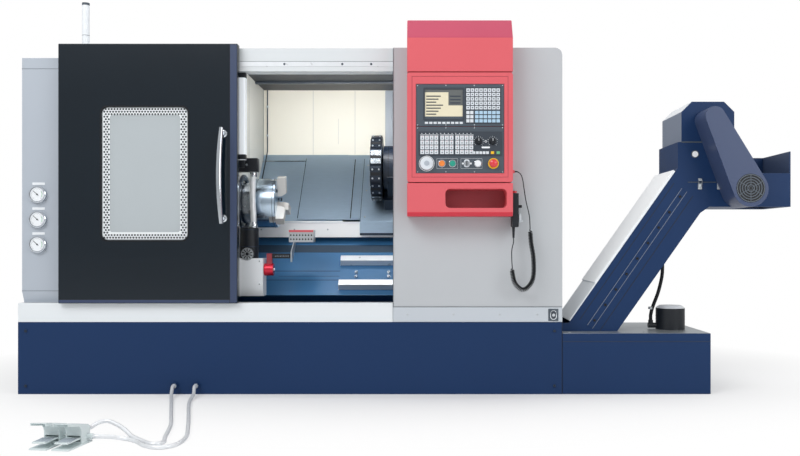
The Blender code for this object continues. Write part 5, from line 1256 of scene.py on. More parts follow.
@dataclass
class Covers:
    """Fixed front covers: shell, right cover with its lock, ledge, header rail and their seams."""

    left: float = 0.491
    right: float = 1.3
    low: float = 0.3443
    top: float = 1.655
    sill_top: float = 0.4155
    face: float = -0.803
    back: float = 0.795
    header: float = -0.7849

    def build(self) -> None:
        """The covers and what sits on them."""
        refine("enclosure_shell", FASCIA, edge=0.002)
        refine("front_ledge", LEDGE, edge=0.003)
        refine("right_cover", COVER, edge=0.003)
        self._sill()
        self._lock()
        self._rail()
        self._rear()

    def _sill(self) -> None:
        """The lighter sill band of the right cover, with its seams and screws."""
        x0, x1, y, top = self.left + 0.001, self.right - 0.0015, self.face, self.sill_top
        slab("cover_sill", SILL, (x0, y - 0.0008, self.low + 0.002), (x1, y + 0.002, top), 0.0006, 1)
        left = self.left
        seams = [block((x0, y - 0.0004, top + 0.0002), (x1, y + 0.002, top + 0.0025)),
                 block((left, y - 0.0003, top + 0.0025), (left + 0.0018, y + 0.002, self.top - 0.004))]
        place("cover_seam", join(seams), SLATE)
        Pattern.spread("cover_screws", crossed((0.56, 0.78, 1.0, 1.18), (y,), (0.381,)), pan_screw(), ZINC)

    def _lock(self) -> None:
        """The oval lock in the sill, with its plate, its recess and its turning middle."""
        y = self.face
        slab("lock_plate", SLATE, (1.232, y - 0.003, 0.35), (1.28, y, 0.408), 0.001)
        oval = rounded(1.24, 0.356, 1.272, 0.402, 0.0159, 10)
        place("lock_body", soften(prism(oval, Y, y - 0.007, y - 0.0028), 0.001), CHROME)
        recess = rounded(1.244, 0.36, 1.268, 0.398, 0.0119, 10)
        place("lock_recess", prism(recess, Y, y - 0.0076, y - 0.0068), SLATE_DARK)
        place("lock_key", drum(Y, (1.256, 0.379), 0.0075, y - 0.011, y - 0.007), CHROME)

    def _rail(self) -> None:
        """The bright rail over the opening, with its bolts, and the header's seam."""
        y = self.header
        slab("header_rail", RAIL, (-0.244, y, 1.568), (0.49, y + 0.0014, 1.591))
        Pattern.spread("rail_bolts", crossed((-0.03, 0.2475, 0.386), (y,), (1.5795,)),
                       disc(Y, (0, 0), 0.0055, -0.00005, 0.001, 16), DARK_STEEL)
        slab("header_seam", SLATE, (-0.244, y, 1.5912), (0.49, y + 0.0009, 1.593))

    def _rear(self) -> None:
        """Plain joints, screws and louvred fields on the rear, which the photograph doesn't show."""
        y = self.back
        seams = [block((x, y - 0.001, 0.36), (x + 0.002, y + 0.0003, 1.64)) for x in (-0.545, 0.055)]
        place("rear_seams", join(seams), SLATE)
        fields = crossed((-0.82, -0.25), (y + 0.0042,), [0.56 + 0.02 * i for i in range(12)])
        Pattern.spread("rear_louvres", fields, block((-0.11, -0.0042, -0.003), (0.11, 0.0, 0.004)), FASCIA)
        Pattern.spread("rear_screws", crossed((-0.99, -0.6, -0.49, 0.0), (y + 0.0002,), (0.42, 1.0, 1.58)),
                       moved(pan_screw(0.0055, 0.0026), turn_at(Z, 180)), ZINC)


@dataclass
class Console:
    """Red operator console: hood, box with its two panels, tray, keys, screen and controls."""

    left: float = 0.56
    right: float = 1.051
    face: float = -0.92
    panel: float = -0.9203
    screen_face: float = -0.9173
    panel_left: float = 0.602
    screen_low: float = 1.264
    screen_high: float = 1.458
    panel_low: float = 1.046
    panel_high: float = 1.2615
    row: float = 1.09
    scale_z: float = 1.1925
    knobs: tuple[tuple[str, float], ...] = (("feed", 0.8915), ("spindle", 0.9568))
    mark_lift: float = 0.0023

    def build(self) -> None:
        """The console's pieces."""
        hood = refine("console_hood", RED, edge=0.004, segments=3)
        # Painted shade: the hood's slant that looks up and to the front is painted a darker red.
        paint_faces(hood, RED_SHADE, (0.4, -1.0, 1.6), (1.2, -0.5, 2.0), (0, -0.7, 0.7), 0.85)
        refine("console_box", RED, edge=0.003, segments=3)
        tray = refine("console_tray", RED, edge=0.003, segments=3)
        # Painted shade: the tray's faces that look down and to the front are painted a deeper red.
        paint_faces(tray, RED_PAINTED_UNDERSIDE_SHADE, (0.4, -1.0, 0.8), (1.2, -0.5, 0.92), (0, -0.6, -0.8), 0.8)
        refine("screen_panel", SLATE, edge=0.001)
        refine("operator_panel", SLATE, edge=0.0008)
        self._frame()
        self._screen()
        self._host_keys()
        self._machine_panel()
        self._scales()
        self._buttons()
        self._key_switch()
        self._handwheel()
        self._screws()

    def _frame(self) -> None:
        """Painted shade in deep red: the line along the step round the panels, and the dark floor of the
        tray's recess.
        """
        rim = 0.022
        bars = line_frame(self.left + rim, 1.004 + rim, self.right - rim, 1.4945, 0.0022, self.face - 0.0004,
                          self.face + 0.001)
        place("console_frame_line", join(bars), DEEP_RED_AND_PAINTED_SHADE)
        recess = prism(rounded(0.7385, 0.8855, 1.0215, 0.9715, 0.0195), Y, -0.8265, -0.825)
        place("tray_recess_back", recess, DEEP_RED_AND_PAINTED_SHADE)

    def _screen(self) -> None:
        """Display with its bezel, a generic picture and the soft keys under it."""
        x0, x1 = self.panel_left + 0.04, self.panel_left + 0.217
        z0, z1 = self.screen_low + 0.032, self.screen_low + 0.171
        y, back = self.screen_face, self.screen_face + 0.002
        wide, tall = x1 - x0, z1 - z0

        def patch(a: float, b: float, c: float, d: float, near: float, far: float = 0.0) -> Shape:
            """A flat box on the display, from shares of its width and height."""
            low = (x0 + wide * a, back - near, z0 + tall * b)
            return block(low, (x0 + wide * c, back - far, z0 + tall * d))

        bezel = flat_frame(rounded(x0 - 0.007, z0 - 0.007, x1 + 0.007, z1 + 0.007, 0.006),
                           rounded(x0 + 0.001, z0 + 0.001, x1 - 0.001, z1 - 0.001, 0.002), y - 0.0018, back)
        place("screen_bezel", bezel, SLATE_DARK)
        slab("screen_glass", SCREEN_PALE, (x0, back, z0), (x1, back + 0.001, z1))
        place("screen_head", patch(0.0, 0.9, 1.0, 1.0, 0.0006), SCREEN_DARK)
        place("screen_side", patch(0.62, 0.46, 1.0, 0.9, 0.0006), SCREEN_DARK)
        place("screen_foot", patch(0.0, 0.0, 1.0, 0.09, 0.0006), SLATE)
        rows = [patch(0.04, 0.15 + 0.1 * i, 0.3 + 0.06 * (i % 4), 0.185 + 0.1 * i, 0.0008, 0.0002)
                for i in range(7)]
        rows += [patch(0.66, 0.52 + 0.11 * i, 0.94, 0.565 + 0.11 * i, 0.0012, 0.0005) for i in range(3)]
        place("screen_lines", join(rows), SLATE_DARK)
        keys = grid(x0 - 0.002, x1 + 0.002, 9, self.screen_low + 0.008, self.screen_low + 0.021, 1, y)
        Pattern.spread("soft_keys", keys, self._key(0.015, 0.0095), KEY)

    @staticmethod
    def _key(wide: float, tall: float) -> Shape:
        """One key cap with soft edges, about the origin."""
        return soften(block((-wide / 2, -0.0022, -tall / 2), (wide / 2, 0.0, tall / 2)), 0.0006, 1)

    def _host_keys(self) -> None:
        """Letter and cursor keys at the right of the display."""
        y, x0, x1 = self.screen_face, 0.833, 0.992
        z0, z1 = self.screen_low + 0.014, self.screen_low + 0.176
        front = y - 0.001
        slab("key_plate", SLATE_DARK, (x0 - 0.004, front, z0 - 0.004), (x1 + 0.004, y, z1 + 0.004), 0.0004, 1)
        split = z0 + 3 * (z1 - z0) / 8
        letters = grid(x0, x1, 8, split, z1, 5, front)
        Pattern.spread("letter_keys", letters, self._key(0.0164, 0.0164), KEY)
        Pattern.spread("cursor_keys", grid(x0 + 0.04, x1, 6, z0, split - 0.003, 3, front),
                       self._key(0.0164, 0.015), KEY_BLUE)
        Pattern.spread("edit_keys", grid(x0, x0 + 0.036, 2, z0, split - 0.003, 3, front),
                       self._key(0.015, 0.015), KEY)
        Pattern.spread("letter_marks", letters, block((-0.0032, -0.0002, -0.0028), (0.0032, 0.0002, 0.0028)),
                       SLATE, lift=self.mark_lift)

    def _machine_panel(self) -> None:
        """Function keys in three blocks with their lamps and marks, the lamp strip and the start keys."""
        y, pitch = self.panel, 0.0215
        x0, x1, z0, z1 = 0.614, 1.0, 1.126, 1.238
        front = y - 0.0008
        slab("function_plate", SLATE_DARK, (x0, front, z0), (x1, y, z1), 0.0004, 1)
        labels = []
        for k, (start, columns) in enumerate(((x0 + 0.006, 4), (x0 + 0.098, 3), (x0 + 0.168, 4))):
            stop = start + columns * pitch
            spots = grid(start, stop, columns, z0 + 0.006, z1 - 0.018, 4, front)
            Pattern.spread(f"function_keys_{k}", spots, self._key(0.0182, 0.0188), KEY)
            Pattern.spread(f"function_lamps_{k}", spots, disc(Y, (0, 0.0062), 0.0014, -0.0004, 0.0002, 8),
                           SIGNAL_RED, lift=self.mark_lift)
            cross = join([block((-0.0045, -0.0002, -0.0028), (0.0045, 0.0002, -0.0012)),
                          block((-0.0012, -0.0002, -0.0056), (0.0012, 0.0002, 0.0016))])
            Pattern.spread(f"function_marks_{k}", spots, cross, SLATE, lift=self.mark_lift)
            labels.append(block((start, front - 0.0006, z1 - 0.0165), (stop, front + 0.0002, z1 - 0.0145)))
        place("key_labels", join(labels), WHITE)
        Pattern.spread("lamp_strip", grid(x0 + 0.006, x0 + 0.25, 14, z1 - 0.012, z1 - 0.006, 1, front),
                       disc(Y, (0, 0), 0.0022, -0.0008, 0.0002, 10), KEY)
        Pattern.spread("start_keys", grid(0.862, 0.94, 5, z0 + 0.006, z0 + 0.022, 1, front),
                       self._key(0.013, 0.0125), KEY)
        for name, x, finish in (("yellow", 0.9555, YELLOW), ("green", 0.982, GREEN)):
            spot = Matrix.Translation((x, front, z0 + 0.014))
            place(f"{name}_key", moved(self._key(0.015, 0.0125), spot), finish)

    def _scales(self) -> None:
        """The scales round the two override knobs, and the marks between them."""
        front = self.panel - 0.0008
        for name, x in self.knobs:
            ticks = []
            for i in range(13):
                tick = block((-0.0006, -0.0004, 0.0195), (0.0006, 0.0002, 0.0235 if i % 3 else 0.0255))
                ticks.append(moved(tick, turn_at(Y, 22.5 * i - 135, (x, front, self.scale_z))))
            place(f"scale_{name}", join(ticks), WHITE)
            slab(f"knob_mark_{name}", WHITE, (x - 0.0009, self.panel - 0.0158, 1.1935),
                 (x + 0.0009, self.panel - 0.0146, 1.206), body=f"{name}_knob")
        middle = ring(Y, (0.9245, self.scale_z), 0.0052, 0.0032, front - 0.0008, front + 0.0004, 20)
        place("scale_middle", middle, WHITE)
        oval = prism(rounded(0.905, 1.1605, 0.944, 1.1685, 0.0039), Y, front - 0.0008, front + 0.0004)
        place("scale_label", oval, WHITE)

    def _buttons(self) -> None:
        """What the operator presses and turns, with the collars and frames round it."""
        y, row = self.panel, self.row
        for node, finish, body, edge in (
            ("hold_button", ORANGE, "feed_hold", 0.0006), ("start_button", TEAL, "cycle_start", 0.0006),
            ("e_stop", SIGNAL_RED, "emergency_stop", 0.001), ("handwheel", KEY, "panel_handwheel", 0.001),
            ("knob_feed", BLACK, "feed_knob", 0.0008), ("knob_spindle", BLACK, "spindle_knob", 0.0008),
        ):
            refine(node, finish, body, edge)
        for name, x in (("hold", 0.721), ("start", 0.7706), ("spare", 0.888)):
            collar = turned([(y + 0.001, 0.0178), (y - 0.003, 0.0175), (y - 0.004, 0.016),
                             (y - 0.004, 0.0146), (y + 0.001, 0.0146)], Y, (x, row), 32)
            place(f"collar_{name}", collar, CHROME)
        place("spare_button", drum(Y, (0.888, row), 0.0142, y - 0.007, y, 28), WHITE)
        place("e_stop_ring", ring(Y, (0.96, row), 0.025, 0.012, y - 0.0014, y - 0.0008), YELLOW)
        frames = []
        for x0, x1 in ((0.6975, 0.7945), (0.809, 0.908)):
            frames += line_frame(x0, row - 0.0235, x1, row + 0.0235, 0.0008, y - 0.0004, y + 0.0005)
        place("button_frames", join(frames), WHITE)

    def _key_switch(self) -> None:
        """The key switch: its shield, lock, key and the two marks beside it."""
        x, y, row = 0.8365, self.panel, self.row
        shield = rounded(x - 0.013, row - 0.017, x + 0.013, row + 0.019, 0.009)
        place("key_shield", soften(prism(shield, Y, y - 0.0016, y + 0.0005), 0.0006, 1), KEY)
        lock = [ring(Y, (x, row), 0.0125, 0.0085, y - 0.006, y + 0.001, 28),
                disc(Y, (x, row), 0.0088, y - 0.0045, y + 0.001, 24)]
        place("key_lock", join(lock), CHROME)
        slab("key", BLACK, (x - 0.0015, y - 0.02, row - 0.01), (x + 0.0015, y - 0.004, row + 0.012), 0.0006)
        ears = [block((x + out - 0.0045, y - 0.0008, row - 0.004), (x + out + 0.0045, y, row + 0.004))
                for out in (-0.018, 0.018)]
        place("key_scale", join(ears), WHITE)

    def _handwheel(self) -> None:
        """The handwheel's scale and hub."""
        middle, y = (0.651, self.row), self.panel
        place("handwheel_scale", ring(Y, middle, 0.036, 0.0335, y - 0.0006, y + 0.0006, 48), WHITE)
        place("handwheel_hub", disc(Y, middle, 0.012, y - 0.0168, y - 0.015, 28), GREY, "panel_handwheel")

    def _screws(self) -> None:
        """The panels' screws."""
        columns = (0.6085, 0.74, 0.872, 1.0025)
        spots = crossed(columns, (self.screen_face,), (self.screen_low + 0.0055, self.screen_high - 0.0055))
        spots += crossed(columns, (self.panel,), (self.panel_low + 0.006, self.panel_high - 0.006))
        Pattern.spread("panel_screws", spots, pan_screw(0.003, 0.0016), CHROME)


@dataclass
class HandPendant:
    """Hand pendant on the tray's side: grip, wheel, selector and its dial."""

    side: float = 1.0803

    def build(self) -> None:
        """The pendant's pieces."""
        x, y = self.side, PENDANT_PLANE
        refine("pendant", BLACK, edge=0.0018, segments=3)
        refine("pendant_wheel", KEY, "pendant_handwheel", 0.0008)
        place("pendant_dial", ring(X, (y, 0.84), 0.027, 0.0225, x - 0.0002, x + 0.0006), SLATE)
        place("pendant_stop", drum(Z, (1.0658, y), 0.0095, 0.956, 0.9665, 28), SIGNAL_RED)
        ribs = [block((x + 0.006, y - 0.0078, z), (x + 0.0185, y + 0.0078, z + 0.001))
                for z in (0.889, 0.8926, 0.8962)]
        place("selector_ribs", join(ribs), BLACK)
        slab("pendant_strip", SLATE, (x - 0.0002, y - 0.028, 0.92), (x + 0.0006, y + 0.028, 0.938))


@dataclass
class WorkArea:
    """What the open door shows: liner, lamp, pipe, slant bed and its box ways."""

    wall: float = -0.3
    back: float = 0.145
    ceiling: float = 1.623
    leaf_out: float = -0.186
    bed_out: float = -0.2905
    pipe_x: float = -0.279

    def build(self) -> None:
        """The work area's pieces."""
        self._liner()
        self._leaf()
        self._bed()
        self._lamp()
        self._pipe()

    def _liner(self) -> None:
        """The liner in cream, with painted shade on its ceiling and its left wall, the steel of its fixed
        leaf and its bright white apron front; its seams and its ceiling beam.
        """
        liner = refine("inner_liner", CREAM, edge=0.0008, segments=1)
        # Painted shade: the liner's ceiling, which looks down, is painted near black.
        paint_faces(liner, CEILING_PAINTED_SHADE, (-1, -1, 1.6), (2, 1, 1.64), (0, 0, -1), SQUARE)
        # Painted shade: the liner's left wall, which looks to the right, is painted a greyer stone than the
        # cream.
        paint_faces(liner, STONE_SEAMS_AND_WALL_SHADE, (-0.302, -1, 0.4), (-0.298, 1, 1.64), (1, 0, 0), SQUARE)
        paint_faces(liner, SHEET_STEEL, (-0.31, -1, 0.8), (1.2, 1, 1.25), SLANT_FACE, SQUARE)
        paint_faces(liner, BRIGHT_WHITE_AND_PAINTED_LIGHT, (-0.31, -0.27, 0.75), (1.2, -0.25, 0.84), (0, -1, 0), SQUARE)
        y, top, wall = self.back - 0.0008, self.ceiling - 0.001, self.wall
        slab("ceiling_beam", SLATE_DARK, (wall, -0.13, top - 0.011), (1.168, -0.1, self.ceiling), 0.002)
        seams = [block((x, y, 1.245), (x + 0.003, y + 0.002, top)) for x in (-0.012, 0.235)]
        seams.append(block((0.138, y, 1.305), (0.14, y + 0.002, 1.455)))
        place("wall_seams", join(seams), STONE_SEAMS_AND_WALL_SHADE)
        slab("wall_column", GREY, (0.415, y - 0.004, 1.245), (0.462, y + 0.002, top), 0.003)
        left = [block((wall - 0.001, y0, z0), (wall + 0.0008, y1, top))
                for y0, y1, z0 in ((-0.2955, -0.2925, 0.84), (0.118, 0.12, 1.215))]
        place("left_wall_seams", join(left), SLATE)

    def _leaf(self) -> None:
        """The fixed cover leaf's bright edge, and its apron's edge and screws."""
        start = self.wall + 0.001
        edge = slant_bar(start, 0.1995, 0.5655, 0.5725, self.leaf_out - 0.001, self.leaf_out + 0.0003)
        place("leaf_edge", edge, CHROME)
        slab("apron_edge", WHITE, (start, -0.2604, 0.829), (0.29, -0.2588, 0.8375))
        Pattern.spread("apron_screws", crossed((-0.24, -0.06, 0.12), (-0.2592,), (0.795,)), pan_screw(), ZINC)

    def _bed(self) -> None:
        """The casting in two blues, with ground tops on its box ways, its grooves and bolts."""
        bed = refine("bed_casting", BED_BLUE, edge=0.0025)
        for y, z in (slant(-0.3266, -0.25), slant(-0.1537, -0.25)):
            paint_faces(bed, RAIL, (0.15, y - 0.036, z - 0.036), (1.3, y + 0.036, z + 0.036))
        for y, z in (slant(0.11, -0.245), slant(0.54, -0.245)):
            paint_faces(bed, STEEL, (-0.4, y - 0.02, z - 0.02), (1.3, y + 0.02, z + 0.02), SLANT_FACE, SQUARE)
        out = self.bed_out
        grooves = [slant_bar(-0.29, 0.199, up, up + 0.004, out, out + 0.0009) for up in (-0.214, -0.278)]
        grooves.append(slant_bar(-0.12, 0.199, -0.25, -0.2475, out, out + 0.0008))
        place("bed_grooves", join(grooves), BED_DARK)
        place("bed_dark_strip", slant_bar(-0.299, 1.199, -0.075, -0.02, out, out + 0.002), BED_DARK)
        bolts = [moved(socket_screw(0.0085, 0.01), turn_at(X, -math.degrees(SLANT), on_slant(up, -0.29, x)))
                 for x in (0.285, 0.455, 0.625) for up in (-0.256, -0.224)]
        place("bed_bolts", join(bolts), STEEL)

    def _lamp(self) -> None:
        """The upright lamp: its diffuser in the housing, a cap at each end and its arm."""
        lamp = refine("work_light", DIFFUSER, edge=0.0006, segments=1)
        paint_faces(lamp, ZINC, (-1, -0.742, 1.0), (1, 1, 1.6), (0, 1, 0), 0.5)
        for name, z0, z1 in (("foot", 1.1255, 1.15), ("head", 1.52, 1.5445)):
            cap = prism(rounded(-0.2582, -0.761, -0.2218, -0.72, 0.009), Z, z0, z1)
            place(f"lamp_{name}", soften(cap, 0.0012), BLACK)
        arm = join([block((-0.26, -0.73, 1.088), (-0.233, -0.718, 1.1262)),
                    block((-0.299, -0.726, 1.088), (-0.245, -0.718, 1.11))])
        place("lamp_arm", soften(arm, 0.0015), BLACK)

    def _pipe(self) -> None:
        """The thin oil pipe down the back wall and over the cover, with its clips."""
        x, out = self.pipe_x, self.leaf_out + 0.008
        top, turn = Vector((x, 0.138, 1.622)), Vector((x, 0.138, 1.262))
        foot, bend = on_slant(0.3, out, x), on_slant(0.555, out, x)
        line = [top, top.lerp(turn, 0.5), turn, bend, bend.lerp(foot, 0.5), foot]
        place("oil_pipe", sweep(line, [0.0035] * len(line), 10), DARK_STEEL)
        clips = join([block((x - 0.006, 0.13, z), (x + 0.006, 0.1448, z + 0.01)) for z in (1.35, 1.52)])
        place("pipe_clips", soften(clips, 0.0008), ZINC)


@dataclass
class SpindleUnit:
    """Headstock, spindle, three-jaw chuck and draw tube."""

    body: str = "spindle_assembly"
    radius: float = 0.127
    face: float = -0.115
    nose: float = -0.288

    def build(self) -> None:
        """The spindle unit's pieces."""
        refine("headstock", BED_BLUE, edge=0.003)
        refine("spindle", STEEL, self.body, 0.0008, 1)
        refine("chuck_body", CHUCK, self.body, 0.001)
        refine("draw_tube", STEEL, "draw_bar", 0.0008, 1)
        for i, body in enumerate(("jaw_one", "jaw_two", "jaw_three"), start=1):
            refine(f"jaw_{i}", JAW, body, 0.0012)
        lines = [ring(X, SPINDLE, self.radius + 0.0004, self.radius - 0.002, x, x + 0.0016, 72)
                 for x in (-0.214, -0.131)]
        place("chuck_lines", join(lines), HOLE, self.body)
        pairs = [30 + 60 * i + (14 if i % 2 else -14) for i in range(6)]
        place("chuck_bolts", self._bolts(self.face, 0.086, pairs, 0.009, 0.004), DARK_STEEL, self.body)
        flange = ring(X, SPINDLE, 0.148, 0.12, self.nose - 0.0115, self.nose, 64)
        place("nose_flange", soften(flange, 0.0015), DARK_STEEL)
        even = [15 + 30 * i for i in range(12)]
        place("nose_screws", self._bolts(self.nose, 0.138, even, 0.006, 0.005), STEEL)

    @staticmethod
    def _bolts(x: float, circle: float, turns: Sequence[float], radius: float, height: float) -> Shape:
        """Bolts on a circle round the spindle's axis.

        Args:
            x: where their heads sit.
            circle: the circle's radius.
            turns: their angles in degrees.
            radius: the heads' radius.
            height: the heads' height.

        Returns:
            All of them in one shape, facing along X.
        """
        spots = [arc(SPINDLE, circle, turn, turn, 1)[0] for turn in turns]
        return join([moved(socket_screw(radius, height), turn_at(Z, 90, (x, y, z))) for y, z in spots])


@dataclass
class Carriage:
    """Saddle with its telescopic cover, cross slide and twelve-station turret."""

    centre: Flat = (-0.2396, 1.1294)
    facet: float = 0.17
    stations: int = 12
    bright: tuple[int, ...] = (2, 8)

    def build(self) -> None:
        """The carriage's pieces."""
        refine("saddle", SHEET_STEEL, "carriage", 0.0012)
        refine("way_cover", SHEET_STEEL, "middle_cover", 0.0006, 1)
        refine("cross_slide", TURRET_BODY, "turret_slide", 0.0025)
        place("saddle_wiper", slant_bar(0.24, 0.2445, 0.08, 0.579, -0.185, -0.18), RUBBER, "carriage")
        rim = slant_bar(-0.0465, -0.0435, 0.083, 0.593, -0.1862, -0.1838)
        place("cover_wiper", rim, CHROME, "middle_cover")
        edge = join([slant_bar(0.295, 0.2975, 0.05, 0.579, -0.1779, -0.1768),
                     block((0.296, -0.2808, 0.764), (0.859, -0.2796, 0.776))])
        place("saddle_edges", edge, DARK_STEEL, "carriage")
        lugs = [on_slant(up, -0.1774, x) for x in (0.32, 0.84) for up in (0.085, 0.3, 0.52)]
        head = moved(pan_screw(0.0055, 0.003), turn_at(X, -math.degrees(SLANT)))
        Pattern.spread("saddle_screws", lugs, head, ZINC, "carriage")
        self._turret()

    def _turret(self) -> None:
        """The disc's stations with their slots, clamps and screws, its cap and its collar."""
        refine("turret_disc", TURRET_DARK, "turret", 0.002)
        dark, light, screws, slots = [], [], [], []
        top = self.facet + 0.0035
        for i in range(self.stations):
            turn = turn_at(X, 360 / self.stations * (i + 0.5), (0, *self.centre))
            plate = soften(block((0.36, -0.037, self.facet - 0.003), (0.415, 0.037, top)), 0.0012, 1)
            (light if i in self.bright else dark).append(moved(plate, turn))
            for spot in product((0.37, 0.405), (-0.024, 0.024), (top,)):
                screws.append(moved(socket_screw(0.0048, 0.0028), turn @ turn_at(X, -90, spot)))
            slots.append(moved(block((0.359, -0.0085, top - 0.0005), (0.416, 0.0085, top + 0.0004)), turn))
        for name, shapes, finish in (
            ("station_plates", dark, TURRET_DARK), ("station_plates_bright", light, STEEL),
            ("station_screws", screws, ZINC), ("station_slots", slots, HOLE),
        ):
            place(name, join(shapes), finish, "turret")
        cap = turned([(0.3545, 0), (0.3545, 0.05), (0.356, 0.054), (0.3562, 0)], X, self.centre)
        place("turret_cap", cap, STEEL, "turret")
        rims = [ring(X, self.centre, 0.1205, 0.1165, x, x + 0.003, 56) for x in (0.45, 0.69)]
        place("turret_body_rings", join(rims), HOLE, "turret_slide")


@dataclass
class PartsCatcher:
    """Parts catcher: drive box, its motor with the slotted disc, armoured hose and swinging arm."""

    drum_x: float = -0.2317
    disc_z: float = 0.668
    disc_y: float = -0.671
    middle: float = -0.6175
    hose_x: float = -0.2117
    hose_foot: float = 0.7966
    body: str = "parts_catcher"

    def build(self) -> None:
        """The catcher's pieces."""
        box = refine("catcher_box", WHITE, edge=0.002)
        paint_faces(box, BLACK, (-0.29, -0.68, 0.6465), (-0.18, -0.55, 0.8))
        self._drive()
        self._hose()
        self._arm()

    def _drive(self) -> None:
        """The box's screws, and the motor's disc with its radial slots and its bands."""
        Pattern.spread("catcher_screws", crossed((-0.284, -0.172), (-0.6652,), (0.52, 0.632)),
                       pan_screw(0.004, 0.0022), CHROME)
        y, spot = self.disc_y, (self.drum_x, 0, self.disc_z)
        place("drive_disc", ring(Y, (self.drum_x, self.disc_z), 0.0305, 0.0085, y - 0.0012, y + 0.001), ZINC)
        low, high = (-0.0022, y - 0.002, 0.0115), (0.0022, y - 0.0008, 0.027)
        slots = [moved(block(low, high), turn_at(Y, 36 * i, spot)) for i in range(10)]
        place("drive_slots", join(slots), HOLE)
        bands = [ring(Z, (self.drum_x, self.middle), 0.0468, 0.044, up, up + 0.004) for up in (0.702, 0.786)]
        place("drive_bands", join(bands), DARK_STEEL)

    def _hose(self) -> None:
        """The armoured hose, its collars and the black clamp on the wall."""
        x, y, z = self.hose_x, self.middle, self.hose_foot
        route = [(x - out, y, up) for out, up in
                 ((0.0, z), (0.0, 0.85), (0.004, 0.94), (0.004, 1.02), (0.0, 1.09), (0.0, 1.13))]
        shape, _ = ribbed(route, 0.0152, 0.006, 0.001)
        place("catcher_hose", shape, ARMOUR, instead=("catcher_conduit",), sharp=RIB_EDGE)
        foot = turned([(z, 0.015), (z, 0.0215), (0.812, 0.0215), (0.816, 0.0185), (0.826, 0.018),
                       (0.826, 0.015)], Z, (x, y), 32)
        collars = join([foot, ring(Z, (x, y), 0.0175, 0.015, 1.052, 1.074, 32)])
        place("hose_collars", soften(collars, 0.0008), CHROME)
        slab("hose_clamp", BLACK, (-0.2997, y - 0.024, 1.076), (-0.1857, y + 0.024, 1.144), 0.004, 3)
        Pattern.spread("clamp_screws", crossed((-0.282, -0.24), (y - 0.0242,), (1.11,)),
                       socket_screw(0.0055, 0.004), STEEL)

    def _arm(self) -> None:
        """The arm in its colours, with the tray's perforations, its red top strip and the hub's bolt."""
        arm = refine("catcher_arm", ZINC, self.body, 0.001)
        paint_faces(arm, BLACK, (-0.13, -0.66, 0.6), (-0.0235, -0.55, 0.7))
        paint_faces(arm, DEEP_RED_AND_PAINTED_SHADE, (-0.16, -0.66, 0.555), (-0.102, -0.55, 0.7))
        paint_faces(arm, HUB_RED, (-0.16, -0.66, 0.555), (-0.1, -0.55, 0.626))
        for name, y, front, back in (("tray_holes", -0.5432, -0.0002, 0.0006),
                                     ("tray_back_holes", -0.4523, -0.0004, 0.0004)):
            Pattern.spread(name, grid(-0.044, 0.076, 8, 0.731, 0.772, 2, y),
                           disc(Y, (0, 0), 0.0042, front, back, 12), HOLE, self.body)
        slab("tray_strip", RED, (-0.0462, -0.5445, 0.777), (0.0778, -0.5415, 0.788), 0.0006, 1, self.body)
        dots = crossed([-0.098 + 0.008 * i for i in range(9)], (-0.634,), (0.657,))
        Pattern.spread("arm_dots", dots, disc(Y, (0, 0), 0.0022, -0.001, 0.0004, 10), CHROME, self.body)
        place("hub_bolt", drum(X, (self.middle, 0.59), 0.011, -0.1112, -0.104, 24), CHROME, self.body)


